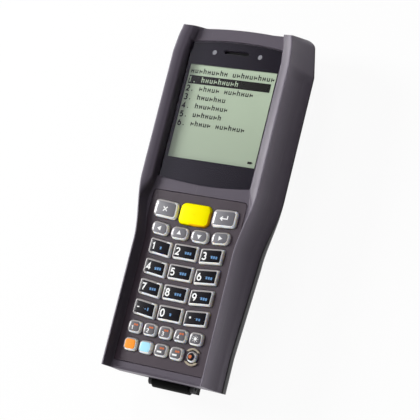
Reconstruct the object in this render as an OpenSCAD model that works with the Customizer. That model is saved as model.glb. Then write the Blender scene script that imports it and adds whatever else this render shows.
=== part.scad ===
// Portable barcode data terminal, lying on its back.
// X runs across, Y towards the scanning end, Z out of the front face.
// Pieces are drawn about the centre of the display, on the front face plane, and seat() moves them
// into the part's frame, whose origin is the centre of the bounding box's bottom.

/* [Overall] */
// Display centre to the scanning end, at the parting plane
head_end = 44.8; // [43:0.1:48]
// Display centre to the bottom end of the side walls
foot_end = 126.8; // [126:0.1:130]
// Half of the width across the head, at the parting plane
head_half = 35.5; // [34:0.1:38]
// Half of the width at the top of the grip, at the parting plane
grip_half = 30.4; // [29.6:0.1:31.5]
// Half of the width at the bottom of the grip, at the parting plane
foot_half = 27.7; // [27.4:0.1:29]
// Front face plane to the parting plane
front_depth = 15; // [14.6:0.1:17]
// Parting plane to the back face
back_depth = 17; // [16.6:0.1:19]
// Wall thickness of both housings
wall = 2.0; // [1.6:0.1:2.4]
// Thickness of the front face plate
face_plate = 2.2; // [2:0.1:2.5]
// Gap between pieces that are laid in and their recess
fit_gap = 0.15; // [0.1:0.05:0.25]

/* [Side rails] */
// Height of the rail crest above the front face
rail_height = 4.8; // [4:0.1:5.5]
// Half of the distance between the rail crests at the head
crest_head = 31.3; // [30.6:0.1:32]
// Half of the distance between the rail crests at the grip
crest_grip = 26.8; // [26.4:0.1:27.4]
// Half of the distance between the rail crests at the scanning end
crest_tip = 29.2; // [28.6:0.1:30.2]
// Width of the rail's sloped top at the head
strip_head = 6.2; // [5.9:0.1:6.6]
// Width of the rail's foot at the grip
strip_grip = 2.9; // [2.6:0.1:3.1]
// Height of the sloped top's inner edge above the face, at the head
strip_height = 3.4; // [2.6:0.1:4]
// Where the head begins to narrow, below the display centre
waist_top = 34; // [32:0.5:35]
// Where the grip begins, below the display centre
waist_low = 66; // [62:0.5:70]
// Where the side scoops end, above the display centre
scoop_end = 25; // [20:0.5:28]
// How far the side scoops bite into the walls
scoop_depth = 0.8; // [0.4:0.1:1.2]
// How far the walls lean out at the scanning end, over the front depth
tip_lean = 3.2; // [2:0.1:4]
// How deep the rails stand clear of the scanning end
tip_notch = 7; // [5:0.1:8]
// Face edge above the display centre, at the middle
face_top = 41.6; // [40.8:0.1:42]
// Radius of the face's curved top edge
face_top_r = 222; // [150:1:300]
// Chamfer along the face's bottom edge
foot_chamfer = 1.2; // [0.8:0.1:1.8]

/* [Display] */
// Side of the square picture area
view_size = 45.3; // [44:0.1:46]
// Half of the lens width
lens_half = 24.95; // [24.6:0.05:25]
// Lens reach above the display centre
lens_top = 35.6; // [34.5:0.1:36.5]
// Lens reach below the display centre
lens_low = 35.1; // [34:0.1:36]
// Radius of the lens's curved top and bottom edges
lens_arc_r = 170; // [120:1:240]
// Lens thickness
lens_t = 1.2; // [1:0.1:1.3]
// Thickness of the printed mask under the lens
mask_t = 0.2; // [0.15:0.05:0.3]
// Half of the width of the display panel
panel_half = 23.7; // [23.4:0.1:23.8]
// Panel reach above the display centre
panel_top = 24; // [23.6:0.1:24.4]
// Panel reach below the display centre
panel_low = 26.5; // [25.5:0.1:27]
// Panel thickness
panel_t = 1.4; // [1.2:0.1:1.5]
// Backlight plate thickness
light_t = 1.2; // [1:0.1:1.4]
// Wall of the frame around the panel
frame_wall = 1.2; // [1:0.1:1.4]
// Speaker slot length
slot_len = 13; // [11:0.1:14]
// Speaker slot width
slot_w = 1.8; // [1.4:0.1:2]
// Speaker slot and status lights above the display centre
slot_y = 30.4; // [30:0.1:30.8]
// Status lights to the middle
light_x = 12.2; // [11:0.1:13]
// Status light radius
light_r = 1.2; // [1:0.05:1.4]

/* [Keypad] */
// Bezel edge below the display centre
bezel_top = 40.3; // [40:0.1:41]
// Bezel bottom edge below the display centre
bezel_low = 122.6; // [122:0.1:123]
// Widest half of the bezel
bezel_half = 24.9; // [24.5:0.1:25]
// Bezel thickness
bezel_t = 1.3; // [1.2:0.1:1.4]
// Width of the ledge that carries the bezel along the grip
bezel_ledge = 1.1; // [0.9:0.1:1.2]
// Gap around each key
key_gap = 0.25; // [0.2:0.05:0.3]
// Height of the key tops above the bezel
key_rise = 1.6; // [1.3:0.1:1.9]
// Key travel
key_travel = 0.8; // [0.5:0.1:0.9]
// Column pitch of the number keys
number_pitch_x = 13.63; // [13.55:0.01:13.8]
// Row pitch of the number keys
number_pitch_y = 9.83; // [9.7:0.01:9.9]
// First number row below the display centre
number_y = 67.5; // [67.4:0.1:67.8]
// Width of the outer number keys
number_w = 12.1; // [11.6:0.1:12.2]
// Width of the middle number keys
number_mid_w = 13.2; // [12.6:0.1:13.3]
// Depth of the number keys
number_h = 7.5; // [7:0.1:7.7]
// Column pitch of the two small rows
small_pitch_x = 8.16; // [8:0.01:8.3]
// Row pitch of the two small rows
small_pitch_y = 8.33; // [8.2:0.01:8.4]
// First small row below the display centre
small_y = 106.1; // [106:0.1:106.3]
// Width of the small keys
small_w = 7.1; // [6.6:0.1:7.2]
// Depth of the small keys
small_h = 6.1; // [5.8:0.1:6.3]
// Arrow keys below the display centre
arrow_y = 58.6; // [58.5:0.1:58.8]
// Pitch of the arrow keys
arrow_pitch = 10.75; // [10.6:0.01:10.8]
// Width of the arrow keys
arrow_w = 9.3; // [8.9:0.1:9.4]
// Depth of the arrow keys
arrow_h = 6.1; // [5.8:0.1:6.2]
// Command keys below the display centre
command_y = 49.1; // [49:0.1:49.3]
// Outer command keys to the middle
command_x = 15.65; // [15.6:0.01:15.7]
// Width of the outer command keys
command_w = 12.9; // [12.4:0.1:13]
// Depth of the outer command keys
command_h = 8.6; // [8.2:0.1:8.8]
// Width of the middle command key
scan_w = 16.4; // [15.8:0.1:16.5]
// Depth of the middle command key
scan_h = 10.4; // [9.8:0.1:10.5]

/* [Electronics] */
// Main board thickness
board_t = 1.6; // [1.2:0.1:1.6]
// Half of the main board's width along the grip
board_half = 20.6; // [20:0.1:20.8]
// Half of the main board's width at the scanning end
board_tip_half = 17.6; // [17:0.1:18]
// Margin of the main board beside the display panel
board_margin = 1.5; // [1:0.1:1.6]
// Width of the shield can
can_w = 26; // [22:0.5:27]
// Length of the shield can
can_len = 30; // [26:0.5:32]
// Height of the shield can
can_h = 2.2; // [1.8:0.1:2.4]
// Sheet thickness of the shield can
can_sheet = 0.3; // [0.2:0.1:0.4]
// Radius of the backup cell
cell_r = 5; // [4:0.1:5.2]
// Thickness of the backup cell
cell_t = 2.4; // [1.8:0.1:2.6]
// Width of the antenna
antenna_w = 7.5; // [6:0.1:7.6]
// Length of the antenna
antenna_len = 22; // [18:0.5:23]
// Width of the scan engine
engine_w = 24; // [23.5:0.1:25]
// Length of the scan engine
engine_len = 10.6; // [10:0.1:11]
// Height of the scan engine below the middle of the window
engine_drop = 4.6; // [4.4:0.1:4.8]
// Width of the speaker
speaker_w = 15; // [14:0.1:16]
// Length of the speaker
speaker_d = 6.4; // [6:0.1:6.6]
// Rubber mat thickness
mat_t = 1.5; // [1.3:0.1:1.6]
// Dome sheet thickness
dome_t = 0.3; // [0.2:0.05:0.4]
// Height of the scan window
window_h = 5.4; // [5:0.1:5.8]
// Width of the scan window
window_w = 28; // [24:0.1:30]
// Scan window thickness
window_t = 1.5; // [1.2:0.1:1.6]

/* [Battery] */
// Battery width
battery_w = 32.8; // [30:0.1:33.4]
// Battery length
battery_len = 60; // [56:0.1:60.5]
// Battery thickness
battery_t = 9.6; // [8:0.1:10]
// Bottom edge of the battery below the display centre
battery_low = 110.5; // [110:0.1:111]
// Half of the battery cover's width
cover_half = 18.6; // [18.2:0.1:18.8]
// Battery cover thickness
cover_t = 1.5; // [1.3:0.1:1.8]

/* [Port cover] */
// Pin of the port cover beyond the bottom end of the side walls
hinge_out = 0.7; // [0.6:0.1:1.7]
// Pin of the port cover below the face plane
hinge_depth = 18.6; // [18.5:0.1:19]
// Radius of the port cover's barrel
barrel_r = 3.2; // [3:0.1:3.3]
// Half of the port cover's width
flap_half = 9.8; // [9:0.1:10.5]
// Port cover reach below the face plane
flap_depth = 28.5; // [27.8:0.1:29]
// Port cover thickness
flap_t = 3.5; // [2.5:0.1:3.6]
// Radius of the hinge ears
ear_r = 2.2; // [2:0.1:2.4]
// Thickness of the hinge ears
ear_t = 2.2; // [1.8:0.1:2.6]
// Radius of the hinge pin
pin_r = 0.8; // [0.7:0.05:0.9]

/* [Hidden] */
$fn = 48;
big = 200;          // longer than any piece
over = 1;           // how far a cut runs past what it cuts
flat_gap = 0.3;     // between flat faces that must not rub

// Part frame: the bounding box runs from the port cover's barrel to the scanning end
hinge_y = foot_end + hinge_out;               // pin of the port cover below the display centre
reach_low = hinge_y + barrel_r;
centre_shift = (reach_low - head_end) / 2;
base_shift = front_depth + back_depth;

// Heights below the face plane
mask_z = -lens_t - mask_t;
panel_z = mask_z - mask_t;
light_z = panel_z - panel_t;
tray_z = light_z - light_t;
key_floor = 2.4;                              // underside of the keys
stem_len = 1.5;
tab_t = key_floor - bezel_t - flat_gap;
mat_z = -key_floor - key_travel - 0.2;        // top of the mat
dome_z = mat_z - mat_t;                       // top of the dome sheet
board_z = dome_z - dome_t;                    // top of the board
under_z = board_z - board_t;                  // underside of the board
parting_z = -front_depth;
back_z = -front_depth - back_depth;

// Outline of the shell along y
function clamp01(t) = max(0, min(1, t));
function smooth(t) = let (c = clamp01(t)) c * c * (3 - 2 * c);
function mix(a, b, t) = a + (b - a) * t;
tip_start = 27;
tip_narrow = 3.9;        // how much the walls draw in towards the scanning end
corner_in = 2.9;         // rounding of the scanning end's corners
corner_run = 4;
slim_run = 14;           // over which the wide rail turns into the narrow one
taper_run = 44;          // over which the grip narrows to the bottom end
rim_w = 0.7;
function waist(y) = smooth((-waist_top - y) / (waist_low - waist_top));
function slim(y) = smooth((-waist_top - y) / slim_run);
function tip(y) = clamp01((y - tip_start) / (head_end - tip_start));
function scoop(y) = smooth((scoop_end + 3 - y) / 6);
function crest_x(y) = mix(crest_head, crest_grip, waist(y)) - (crest_head - crest_tip) * tip(y);
function foot_taper(y) = clamp01((-waist_low - y) / taper_run);
function part_x(y) = mix(head_half, grip_half, waist(y)) - (grip_half - foot_half) * foot_taper(y)
    - tip_narrow * tip(y) - corner_in * pow(clamp01((y - head_end + corner_run) / corner_run), 3);
function base_x(y) = crest_x(y) - mix(strip_head, strip_grip, slim(y));
function inner_x(y) = mix(base_x(y) + 0.8, crest_x(y) - 0.9, slim(y));
function inner_z(y) = mix(strip_height, rail_height - 0.5, slim(y));

// Outer wall from the parting plane (u = 1) up to the crest (u = 0)
wall_steps = 8;
function wall_x(y, u) = crest_x(y)
    + (part_x(y) - crest_x(y)) * mix(u * u, pow(u, 5), scoop(y))
    - scoop_depth * scoop(y) * sin(180 * clamp01(u / 0.8));
function wall_z(u) = rail_height - u * (rail_height + front_depth);
function front_half(y) = concat(
    [for (i = [0:wall_steps - 1]) let (u = 1 - i * 0.95 / (wall_steps - 1)) [wall_x(y, u), wall_z(u)]],
    [[crest_x(y) - 0.2, rail_height - 0.3],
     [crest_x(y) - rim_w, rail_height],
     [inner_x(y), inner_z(y)],
     [base_x(y) + 0.25, 0.35],
     [base_x(y) - 0.5, 0]]);
// Whole section: right half, then its mirror image
function mirrored(half) = concat(half,
    [for (i = [len(half) - 1:-1:0]) [-half[i][0], half[i][1]]]);
function ring(y, half) = [for (p = mirrored(half)) [p[0], y, p[1]]];

grip_stations = [-foot_end, -110, -88, -waist_low, -60, -54, -48, -42, -38, -waist_top, 0];
front_stations = concat(grip_stations, [20, 23, 26, 29, 34, 39, 41.5, 43.2, head_end + over]);
notch_half = 20;
notch_step = 1.2;
foot_wall_y = -foot_end + notch_step;       // outer face of the bottom wall between the corners
cavity_stations = [foot_wall_y + wall + 0.6, -110, -waist_low, -58, -50, -42, -waist_top,
    tip_start, face_top - wall - 0.2];

// Solid through rings of points, each ring a closed section across y
module loft(rings) {
    n = len(rings[0]);
    m = len(rings);
    polyhedron(
        points = [for (r = rings) each r],
        faces = concat(
            [[for (j = [n - 1:-1:0]) j]],
            [[for (j = [0:n - 1]) (m - 1) * n + j]],
            [for (i = [0:m - 2], j = [0:n - 1]) each [
                [i * n + j, i * n + (j + 1) % n, (i + 1) * n + (j + 1) % n],
                [i * n + j, (i + 1) * n + (j + 1) % n, (i + 1) * n + j]]]));
}

// From drawing position to the part's frame
module seat() {
    translate([0, centre_shift, base_shift]) children();
}

// Box from its two corners
module block(lo, hi) {
    translate(lo) cube(hi - lo);
}

// Flat shape with round corners: true arcs at the corners of a convex outline listed anticlockwise
module rounded(corners, r) {
    n = len(corners);
    polygon([for (i = [0:n - 1]) let (
        a = corners[i],
        b = corners[(i + 1) % n],
        d = (b - a) / norm(b - a),
        out = [d[1], -d[0]] * r) each [a + out, b + out]]);
    for (p = corners) translate(p) circle(r);
}

// Rectangle with round corners
module round_rect(w, h, r) {
    rounded([[-w / 2 + r, -h / 2 + r], [w / 2 - r, -h / 2 + r],
        [w / 2 - r, h / 2 - r], [-w / 2 + r, h / 2 - r]], r);
}

// Plate from a flat shape between two heights
module plate(z_low, z_high) {
    translate([0, 0, z_low]) linear_extrude(z_high - z_low) children();
}

// ---- Fastener places ----
screw_places = [[21, 36], [-21, 36], [23.6, -40], [-23.6, -40], [17, -122], [-17, -122]];
screw_seat = back_z + 2.8;
screw_r = 1.0;
screw_head_r = 1.7;
screw_head_t = 1.6;
screw_len = 20;
board_screw_places = [[14.6, 36.4], [-14.6, 36.4], [18, -33.5], [-18, -33.5]];
board_screw_r = 0.8;
board_screw_head_r = 1.5;
board_screw_head_t = 1.1;
board_screw_bite = 2.2;

// ---- Front housing ----
foot_lean = 0.01;
end_reach = 25;          // depth that an end cut covers on both sides of the parting plane
module front_outer() {
    difference() {
        loft([for (y = front_stations) ring(y, front_half(y))]);
        end_cut(head_end, 1, -tip_lean / front_depth);
        end_cut(-foot_end, -1, foot_lean);
    }
}

// Cuts off what lies beyond a leaning end face that crosses the parting plane at y
module end_cut(y, side, slope) {
    far = y + side * end_reach;
    translate([-big / 2, 0, parting_z]) rotate([90, 0, 90]) linear_extrude(big) polygon([
        [y - slope * end_reach, -end_reach], [far, -end_reach],
        [far, end_reach], [y + slope * end_reach, end_reach]]);
}

module front_cavity() {
    loft([for (y = cavity_stations) ring(y, [
        [part_x(y) - wall - 0.8, parting_z - over],
        [crest_x(y) - scoop_depth - wall, -front_depth * 0.55],
        [crest_x(y) - scoop_depth - wall, -face_plate]])]);
}

module lens_shape(grow) {
    intersection() {
        translate([-lens_half - grow, -big / 2]) square([2 * (lens_half + grow), big]);
        translate([0, lens_top - lens_arc_r]) circle(lens_arc_r + grow, $fn = 360);
        translate([0, lens_arc_r - lens_low]) circle(lens_arc_r + grow, $fn = 360);
    }
}

module slot_shape(grow) {
    translate([0, slot_y]) round_rect(slot_len + 2 * grow, slot_w + 2 * grow, slot_w / 2 + grow - 0.01);
}

// Bezel outline: straight at the top, following the rails' feet down the grip
bezel_stations = [for (i = [0:6]) mix(-48, -waist_low, i / 6)];
function bezel_edge(y) = min(bezel_half, base_x(y) - 0.35);
function bezel_points(grow) = concat(
    [[bezel_edge(-bezel_low) + grow, -bezel_low - grow]],
    [for (i = [6:-1:0]) [bezel_edge(bezel_stations[i]) + grow, bezel_stations[i]]],
    [[bezel_half + grow, -bezel_top - 1.5], [bezel_half - 0.45 + grow, -bezel_top - 0.45 + grow],
     [bezel_half - 1.5, -bezel_top + grow]]);
module bezel_shape(grow) {
    polygon(mirrored(bezel_points(grow)));
}

end_ledge = 3;
keypad_half = bezel_edge(-bezel_low) - bezel_ledge;
keypad_top = bezel_top + end_ledge;
keypad_low = bezel_low - end_ledge;
module keypad_window(grow) {
    translate([0, -(keypad_top + keypad_low) / 2])
        round_rect(2 * (keypad_half + grow), keypad_low - keypad_top + 2 * grow, 1.5);
}

module screw_boss(r, z_low, z_high) {
    translate([0, 0, z_low]) cylinder(r = r, h = z_high - z_low);
}

window_z = -tip_notch - 1.8 - window_h / 2;
lean_angle = atan(tip_lean / front_depth);
end_y = head_end - tip_lean * (window_z - parting_z) / front_depth;

// Frame on the leaning scanning end: local z points out of it
module on_tip() {
    translate([0, end_y, window_z]) rotate([lean_angle - 90, 0, 0]) children();
}

module front_housing() {
    color([0.22, 0.2, 0.24]) seat() difference() {
        union() {
            difference() {
                front_outer();
                front_cavity();
            }
            for (p = screw_places) translate(p) screw_boss(2.6, parting_z, -face_plate + 0.1);
            for (p = board_screw_places) translate(p) screw_boss(2.0, board_z, -face_plate + 0.1);
        }
        // Rails stand clear of the face's curved top edge
        translate([0, 0, -tip_notch]) linear_extrude(big) difference() {
            translate([-base_x(head_end), face_top - 10]) square([2 * base_x(head_end), 30]);
            translate([0, face_top - face_top_r]) circle(face_top_r, $fn = 360);
        }
        // Chamfer along the bottom edge of the face
        translate([-base_x(-foot_end), -foot_end, -foot_chamfer]) rotate([45, 0, 0])
            cube([2 * base_x(-foot_end), 2 * foot_chamfer, 2 * foot_chamfer]);
        // Lens pocket and the window under it
        plate(mask_z, big) intersection() {
            lens_shape(fit_gap);
            translate([-base_x(0), -big / 2]) square([2 * base_x(0), big]);
        }
        plate(-face_plate - over, over) translate([0, (panel_top - panel_low) / 2])
            round_rect(2 * panel_half + 0.4, panel_top + panel_low + 0.4, 0.6);
        // Status lights and speaker slot
        for (side = [-1, 1]) translate([side * light_x, slot_y - 0.4, -face_plate - over])
            cylinder(r = light_r + fit_gap, h = big);
        plate(-face_plate - over, over) slot_shape(0);
        // Bezel recess and keypad window
        plate(-bezel_t, big) bezel_shape(fit_gap);
        plate(-face_plate - over, over) keypad_window(0);
        // Scan window and the way to it
        on_tip() {
            translate([-window_w / 2 - fit_gap, -window_h / 2 - fit_gap, -window_t])
                cube([window_w + 2 * fit_gap, window_h + 2 * fit_gap, 10]);
            translate([-window_w / 2 + 1, -window_h / 2 + 0.8, -8]) cube([window_w - 2, window_h - 1.6, 10]);
        }
        // Room for the port cover's barrel and the hinge ears
        barrel_room(ear_t + flat_gap);
        // Screw bores
        for (p = screw_places) translate([p[0], p[1], parting_z - over])
            cylinder(r = screw_r + 0.02, h = screw_seat + screw_len - parting_z + over + 0.5);
        for (p = board_screw_places) translate([p[0], p[1], board_z - over])
            cylinder(r = board_screw_r + 0.02, h = board_screw_bite + 0.2 + over);
    }
}

// ---- Back housing ----
side_slope = 0.49;
back_flare = 0.35;
function back_top(y) = part_x(y) + back_flare * waist(y);
function back_straight(y) = mix(0.6, 3.5, waist(y));
function back_side(y, depth) = back_top(y) - side_slope * max(0, depth - back_straight(y));
function back_half(y) = [
    [back_side(y, back_depth) - 0.9, back_z],
    [back_side(y, back_depth - 0.9), back_z + 0.7],
    [back_side(y, back_depth * 0.6), -front_depth - back_depth * 0.6],
    [back_side(y, back_depth * 0.35), -front_depth - back_depth * 0.35],
    [back_top(y), -front_depth - back_straight(y)],
    [back_top(y), -front_depth]];
gasket_in = 1;
gasket_w = 1.2;
gasket_t = 1.0;
back_inset = gasket_in + gasket_w + 2.7;
function back_cavity_half(y) = [
    [back_side(y, back_depth - wall) - back_inset, back_z + wall],
    [back_side(y, back_depth * 0.4) - back_inset, -front_depth - back_depth * 0.4],
    [back_top(y) - back_inset, -front_depth + over]];
back_stations = concat(grip_stations, [tip_start, 34, 41.5, 43.2, head_end]);
back_cavity_stations = [-foot_end + wall + 1.4, -110, -waist_low, -58, -50, -42, -waist_top, tip_start,
    head_end - wall - 3.4];
foot_slope = 0.6;
tip_slope = 4.0;

module back_outer() {
    difference() {
        loft([for (y = back_stations) ring(y, back_half(y))]);
        end_cut(head_end, 1, tip_slope / back_depth);
        end_cut(-foot_end, -1, -foot_slope / back_depth);
    }
}

bay_gap = 0.5;
bay_half = battery_w / 2 + bay_gap;
bay_low = battery_low + bay_gap;
bay_top = battery_low - battery_len - 2.8;
cover_in = 0.3;             // how deep the battery cover lies in the back
screw_rim = 0.9;
bay_roof = back_z + cover_in + cover_t + 2 * flat_gap + battery_t + flat_gap;
ledge_z = back_z + cover_in + cover_t + flat_gap;
cover_low = 119.2;
cover_top = 45.5;
cover_screw_y = -115.6;
cover_screw_r = 1.5;
cover_screw_head = 2.8;
dock_half = 8.5;
dock_drop = 2.7;            // from the port cover's barrel to the middle of the connector
dock_z = -hinge_depth - barrel_r - dock_drop;
dock_h = 5.6;
dock_len = 4.7;
seal_w = 1.0;
seal_gap = 0.4;             // between the seal and the edge of the battery bay
contact_half = 5;
contact_z = ledge_z + 4.5;

module bay_block(grow, z_low, z_high) {
    block([-bay_half - grow, -bay_low - grow, z_low], [bay_half + grow, -bay_top + grow, z_high]);
}

module cover_shape(grow) {
    translate([0, -(cover_low + cover_top) / 2])
        round_rect(2 * (cover_half + grow), cover_low - cover_top + 2 * grow, 3);
}

module hinge_axis(r, half) {
    translate([-half, -hinge_y, -hinge_depth]) rotate([0, 90, 0]) cylinder(r = r, h = 2 * half);
}

module barrel_room(beyond) {
    hinge_axis(barrel_r + flat_gap, flap_half + flat_gap + beyond);
}

function loop_points(inset) = let (
    ys = [foot_wall_y - 0.3 + inset, -110, -waist_low, -60, -54, -48, -42, -38, -waist_top, tip_start, 37,
        head_end - 1.8 - inset],
    right = [for (y = ys) [part_x(y) - inset, y]])
    concat(right, [for (i = [len(right) - 1:-1:0]) [-right[i][0], right[i][1]]]);
module gasket_shape(grow) {
    difference() {
        polygon(loop_points(gasket_in - grow));
        polygon(loop_points(gasket_in + gasket_w + grow));
    }
}

ear_places = [-1, 1] * (flap_half + flat_gap + ear_t / 2);
module ear_block(reach) {
    block([-ear_t / 2, -reach, -hinge_depth - ear_r],
        [ear_t / 2, foot_wall_y + 1, -hinge_depth + ear_r]);
}

module back_housing() {
    color([0.17, 0.155, 0.19]) seat() difference() {
        union() {
            difference() {
                back_outer();
                loft([for (y = back_cavity_stations) ring(y, back_cavity_half(y))]);
            }
            for (p = screw_places) translate(p) screw_boss(3.0, back_z + 1.6, parting_z);
            bay_block(wall, back_z + 1.6, bay_roof + wall);
            translate([0, cover_screw_y, 0]) screw_boss(3.4, back_z + 1.6, back_z + 11);
            // Hinge ears
            for (x = ear_places) translate([x, 0, 0]) {
                hinge_axis(ear_r, ear_t / 2);
                ear_block(hinge_y);
            }
        }
        // Recessed bottom wall between the corners
        difference() {
            block([-notch_half, -foot_end - over, back_z - over],
                [notch_half, foot_wall_y, parting_z + over]);
            for (x = ear_places) translate([x, 0, 0]) ear_block(big);
        }
        // Room for the port cover's barrel, and the pin's bore
        barrel_room(0);
        hinge_axis(pin_r, flap_half + flat_gap + ear_t + over);
        // Dock connector opening
        block([-dock_half - fit_gap, -foot_end - over, dock_z - dock_h / 2 - fit_gap],
            [dock_half + fit_gap, -foot_end + 8, dock_z + dock_h / 2 + fit_gap]);
        // Battery bay, cover recess and cover screw
        bay_block(0, back_z - over, bay_roof);
        plate(back_z - over, back_z + cover_in + cover_t) cover_shape(flat_gap);
        plate(back_z, ledge_z) difference() {
            seal_shape(fit_gap + 0.2);
            bay_hole(-0.1);
        }
        translate([0, cover_screw_y, back_z - over]) cylinder(r = cover_screw_r + flat_gap, h = 9.4 + over);
        // Battery contact window
        block([-contact_half - fit_gap, -bay_top - over, contact_z - 3 - fit_gap],
            [contact_half + fit_gap, -bay_top + wall + over, contact_z + 3 + fit_gap]);
        // Housing screws
        for (p = screw_places) translate([p[0], p[1], back_z - over]) {
            cylinder(r = screw_r + 0.15, h = back_depth + 2 * over);
            cylinder(r = screw_head_r + 0.2, h = screw_seat - back_z + over);
        }
        // Gasket groove
        plate(parting_z - gasket_t, parting_z + over) gasket_shape(0.05);
    }
}

module bay_hole(grow) {
    translate([-bay_half - grow, -bay_low - grow])
        square([2 * (bay_half + grow), bay_low - bay_top + 2 * grow]);
}

// Outer edge of the seal: as wide as the cover lets it be, and just around the bay's ends
module seal_shape(grow) {
    half = cover_half - flat_gap + grow;
    reach = seal_gap + seal_w + grow;
    translate([-half, -bay_low - reach]) square([2 * half, bay_low - bay_top + 2 * reach]);
}

module housing_gasket() {
    color([0.08, 0.08, 0.08]) seat() plate(parting_z - gasket_t, parting_z) gasket_shape(0);
}

module housing_screws() {
    color("silver") seat() for (p = screw_places) translate([p[0], p[1], screw_seat]) difference() {
        union() {
            translate([0, 0, -screw_head_t]) cylinder(r = screw_head_r, h = screw_head_t);
            cylinder(r = screw_r, h = screw_len);
        }
        translate([0, 0, -screw_head_t - over]) cylinder(r = 1.0, h = over + 0.9, $fn = 6);
    }
}

// ---- Display ----
module display_lens() {
    color([0.1, 0.1, 0.12, 0.5]) seat() difference() {
        plate(-lens_t, 0) lens_shape(0);
        plate(-lens_t - over, over) slot_shape(0);
    }
}

module window_mask() {
    color([0.04, 0.04, 0.05]) seat() difference() {
        plate(mask_z, -lens_t) lens_shape(-0.1);
        plate(mask_z - over, 0) square(view_size + 1.2, center = true);
        plate(mask_z - over, 0) slot_shape(0);
        for (side = [-1, 1]) translate([side * light_x, slot_y - 0.4, mask_z - over])
            cylinder(r = light_r, h = 2);
    }
}

module panel_block(grow, z_low, z_high) {
    block([-panel_half - grow, -panel_low - grow, z_low], [panel_half + grow, panel_top + grow, z_high]);
}

module lcd_panel() {
    color([0.67, 0.74, 0.63]) seat() panel_block(0, light_z, panel_z);
}

module backlight_plate() {
    color([0.9, 0.9, 0.88]) seat() panel_block(-0.3, tray_z, light_z);
}

module lcd_frame() {
    color([0.15, 0.15, 0.15]) seat() difference() {
        panel_block(0.1 + frame_wall, board_z, -face_plate - 0.2);
        panel_block(0.1, tray_z, 0);
        block([-10, -12, board_z - over], [10, 12, tray_z + over]);
    }
}

module status_lights() {
    color([0.85, 0.85, 0.88]) seat() for (side = [-1, 1])
        translate([side * light_x, slot_y - 0.4, board_z]) {
            cylinder(r = light_r, h = mask_z - board_z);
            cylinder(r = light_r + 0.6, h = 0.8);
        }
}

module speaker() {
    color([0.2, 0.2, 0.22]) seat() {
        block([-speaker_w / 2, slot_y - speaker_d / 2, board_z],
            [speaker_w / 2, slot_y + speaker_d / 2, board_z + 0.7]);
        plate(board_z + 0.7, -face_plate - 0.4)
            translate([0, slot_y]) round_rect(speaker_w - 0.4, speaker_d - 0.4, 2);
    }
}

module speaker_mesh() {
    color([0.1, 0.1, 0.1]) seat() difference() {
        plate(-face_plate - 0.4, -face_plate + 0.1) slot_shape(-0.2);
        for (i = [-6:6]) translate([i * 0.9, slot_y, -face_plate - over]) cylinder(r = 0.28, h = 3);
    }
}

// ---- Keys ----
// Outline of one key: corners inside by r; shear drops the inner end, bow rounds the lower edge
module key_shape(w, h, r, shear, grow) {
    k = shear * (w / 2 - r);
    rounded([
        [-w / 2 + r, -h / 2 + r - k], [w / 2 - r, -h / 2 + r + k],
        [w / 2 - r, h / 2 - r + k], [-w / 2 + r, h / 2 - r - k]], r + grow);
}

module round_key_shape(r, grow) {
    circle(r + grow);
}

number_drop = 0.26;
number_shear = 0.1;
arrow_drop = 0.75;
scan_drop = 0.58;
function number_place(c, r) =
    [c * number_pitch_x, -number_y - r * number_pitch_y - (c == 0 ? number_drop : 0)];
function small_place(c, r) = [(c - 2) * small_pitch_x, -small_y - r * small_pitch_y];
// Name, place, width, depth, corner radius, shear
KEYS = concat(
    [["key_esc", [-command_x, -command_y], command_w, command_h, 2.2, -0.06],
     ["key_scan", [0, -command_y - scan_drop], scan_w, scan_h, 2.6, 0],
     ["key_enter", [command_x, -command_y], command_w, command_h, 2.2, 0.06]],
    [for (i = [0:3]) [["key_left", "key_up", "key_down", "key_right"][i],
        [(i - 1.5) * arrow_pitch, -arrow_y - (i == 1 || i == 2 ? arrow_drop : 0)],
        arrow_w, arrow_h, 2.5, i == 0 ? -0.1 : i == 3 ? 0.1 : 0]],
    [for (r = [0:3], c = [-1:1]) [
        [["key_1", "key_2", "key_3"], ["key_4", "key_5", "key_6"], ["key_7", "key_8", "key_9"],
         ["key_minus", "key_0", "key_dot"]][r][c + 1],
        number_place(c, r), c == 0 ? number_mid_w : number_w, number_h, 1.1, c * number_shear]],
    [for (r = [0:1], c = [0:4]) [
        [["key_f1", "key_f2", "key_f3", "key_f4", "key_light"],
         ["key_orange", "key_blue", "key_space", "key_back", "key_power"]][r][c],
        small_place(c, r), small_w, small_h, 2.0, 0]]);
power_r = 2.6;
mat_in = 2;
crown_r = 60;
tab_w = 3;
tab_out = 0.75;
stem_r = 1.4;

module outline_of(k, grow) {
    if (k[0] == "key_power") round_key_shape(power_r, grow);
    else key_shape(k[2], k[3], k[4], k[5], grow);
}

module key(name) {
    k = [for (row = KEYS) if (row[0] == name) row][0];
    reach = name == "key_power" ? power_r : k[3] / 2;
    seat() translate(k[1]) {
        intersection() {
            plate(-key_floor, key_rise) outline_of(k, 0);
            translate([0, 0, key_rise - crown_r]) sphere(crown_r, $fn = 200);
        }
        difference() {
            block([-tab_w / 2, -reach - tab_out, -key_floor],
                [tab_w / 2, reach + tab_out, -key_floor + tab_t]);
            plate(-key_floor - over, 0) outline_of(k, -0.01);
        }
        translate([0, 0, -key_floor - stem_len]) cylinder(r = stem_r, h = stem_len);
    }
}

module keypad_bezel() {
    color([0.37, 0.33, 0.38]) seat() difference() {
        plate(-bezel_t, 0) bezel_shape(0);
        for (k = KEYS) translate(k[1]) plate(-bezel_t - over, over) outline_of(k, key_gap);
        translate(small_place(4, 1)) plate(-0.6, over) guard_shape(0.05);
    }
}

module guard_shape(grow) {
    difference() {
        circle(power_r + 1.5 + grow);
        circle(power_r + 0.6 - grow);
        translate([-big / 2, -2.3 + grow]) square([big, 4.6 - 2 * grow]);
    }
}

module power_guard() {
    color([0.6, 0.56, 0.5]) seat() translate(small_place(4, 1)) plate(-0.6, 0.7) guard_shape(0);
}

module mat_outline() {
    translate([0, -(keypad_top + keypad_low) / 2])
        square([2 * (keypad_half - mat_in), keypad_low - keypad_top - 2 * mat_in], center = true);
}

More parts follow.
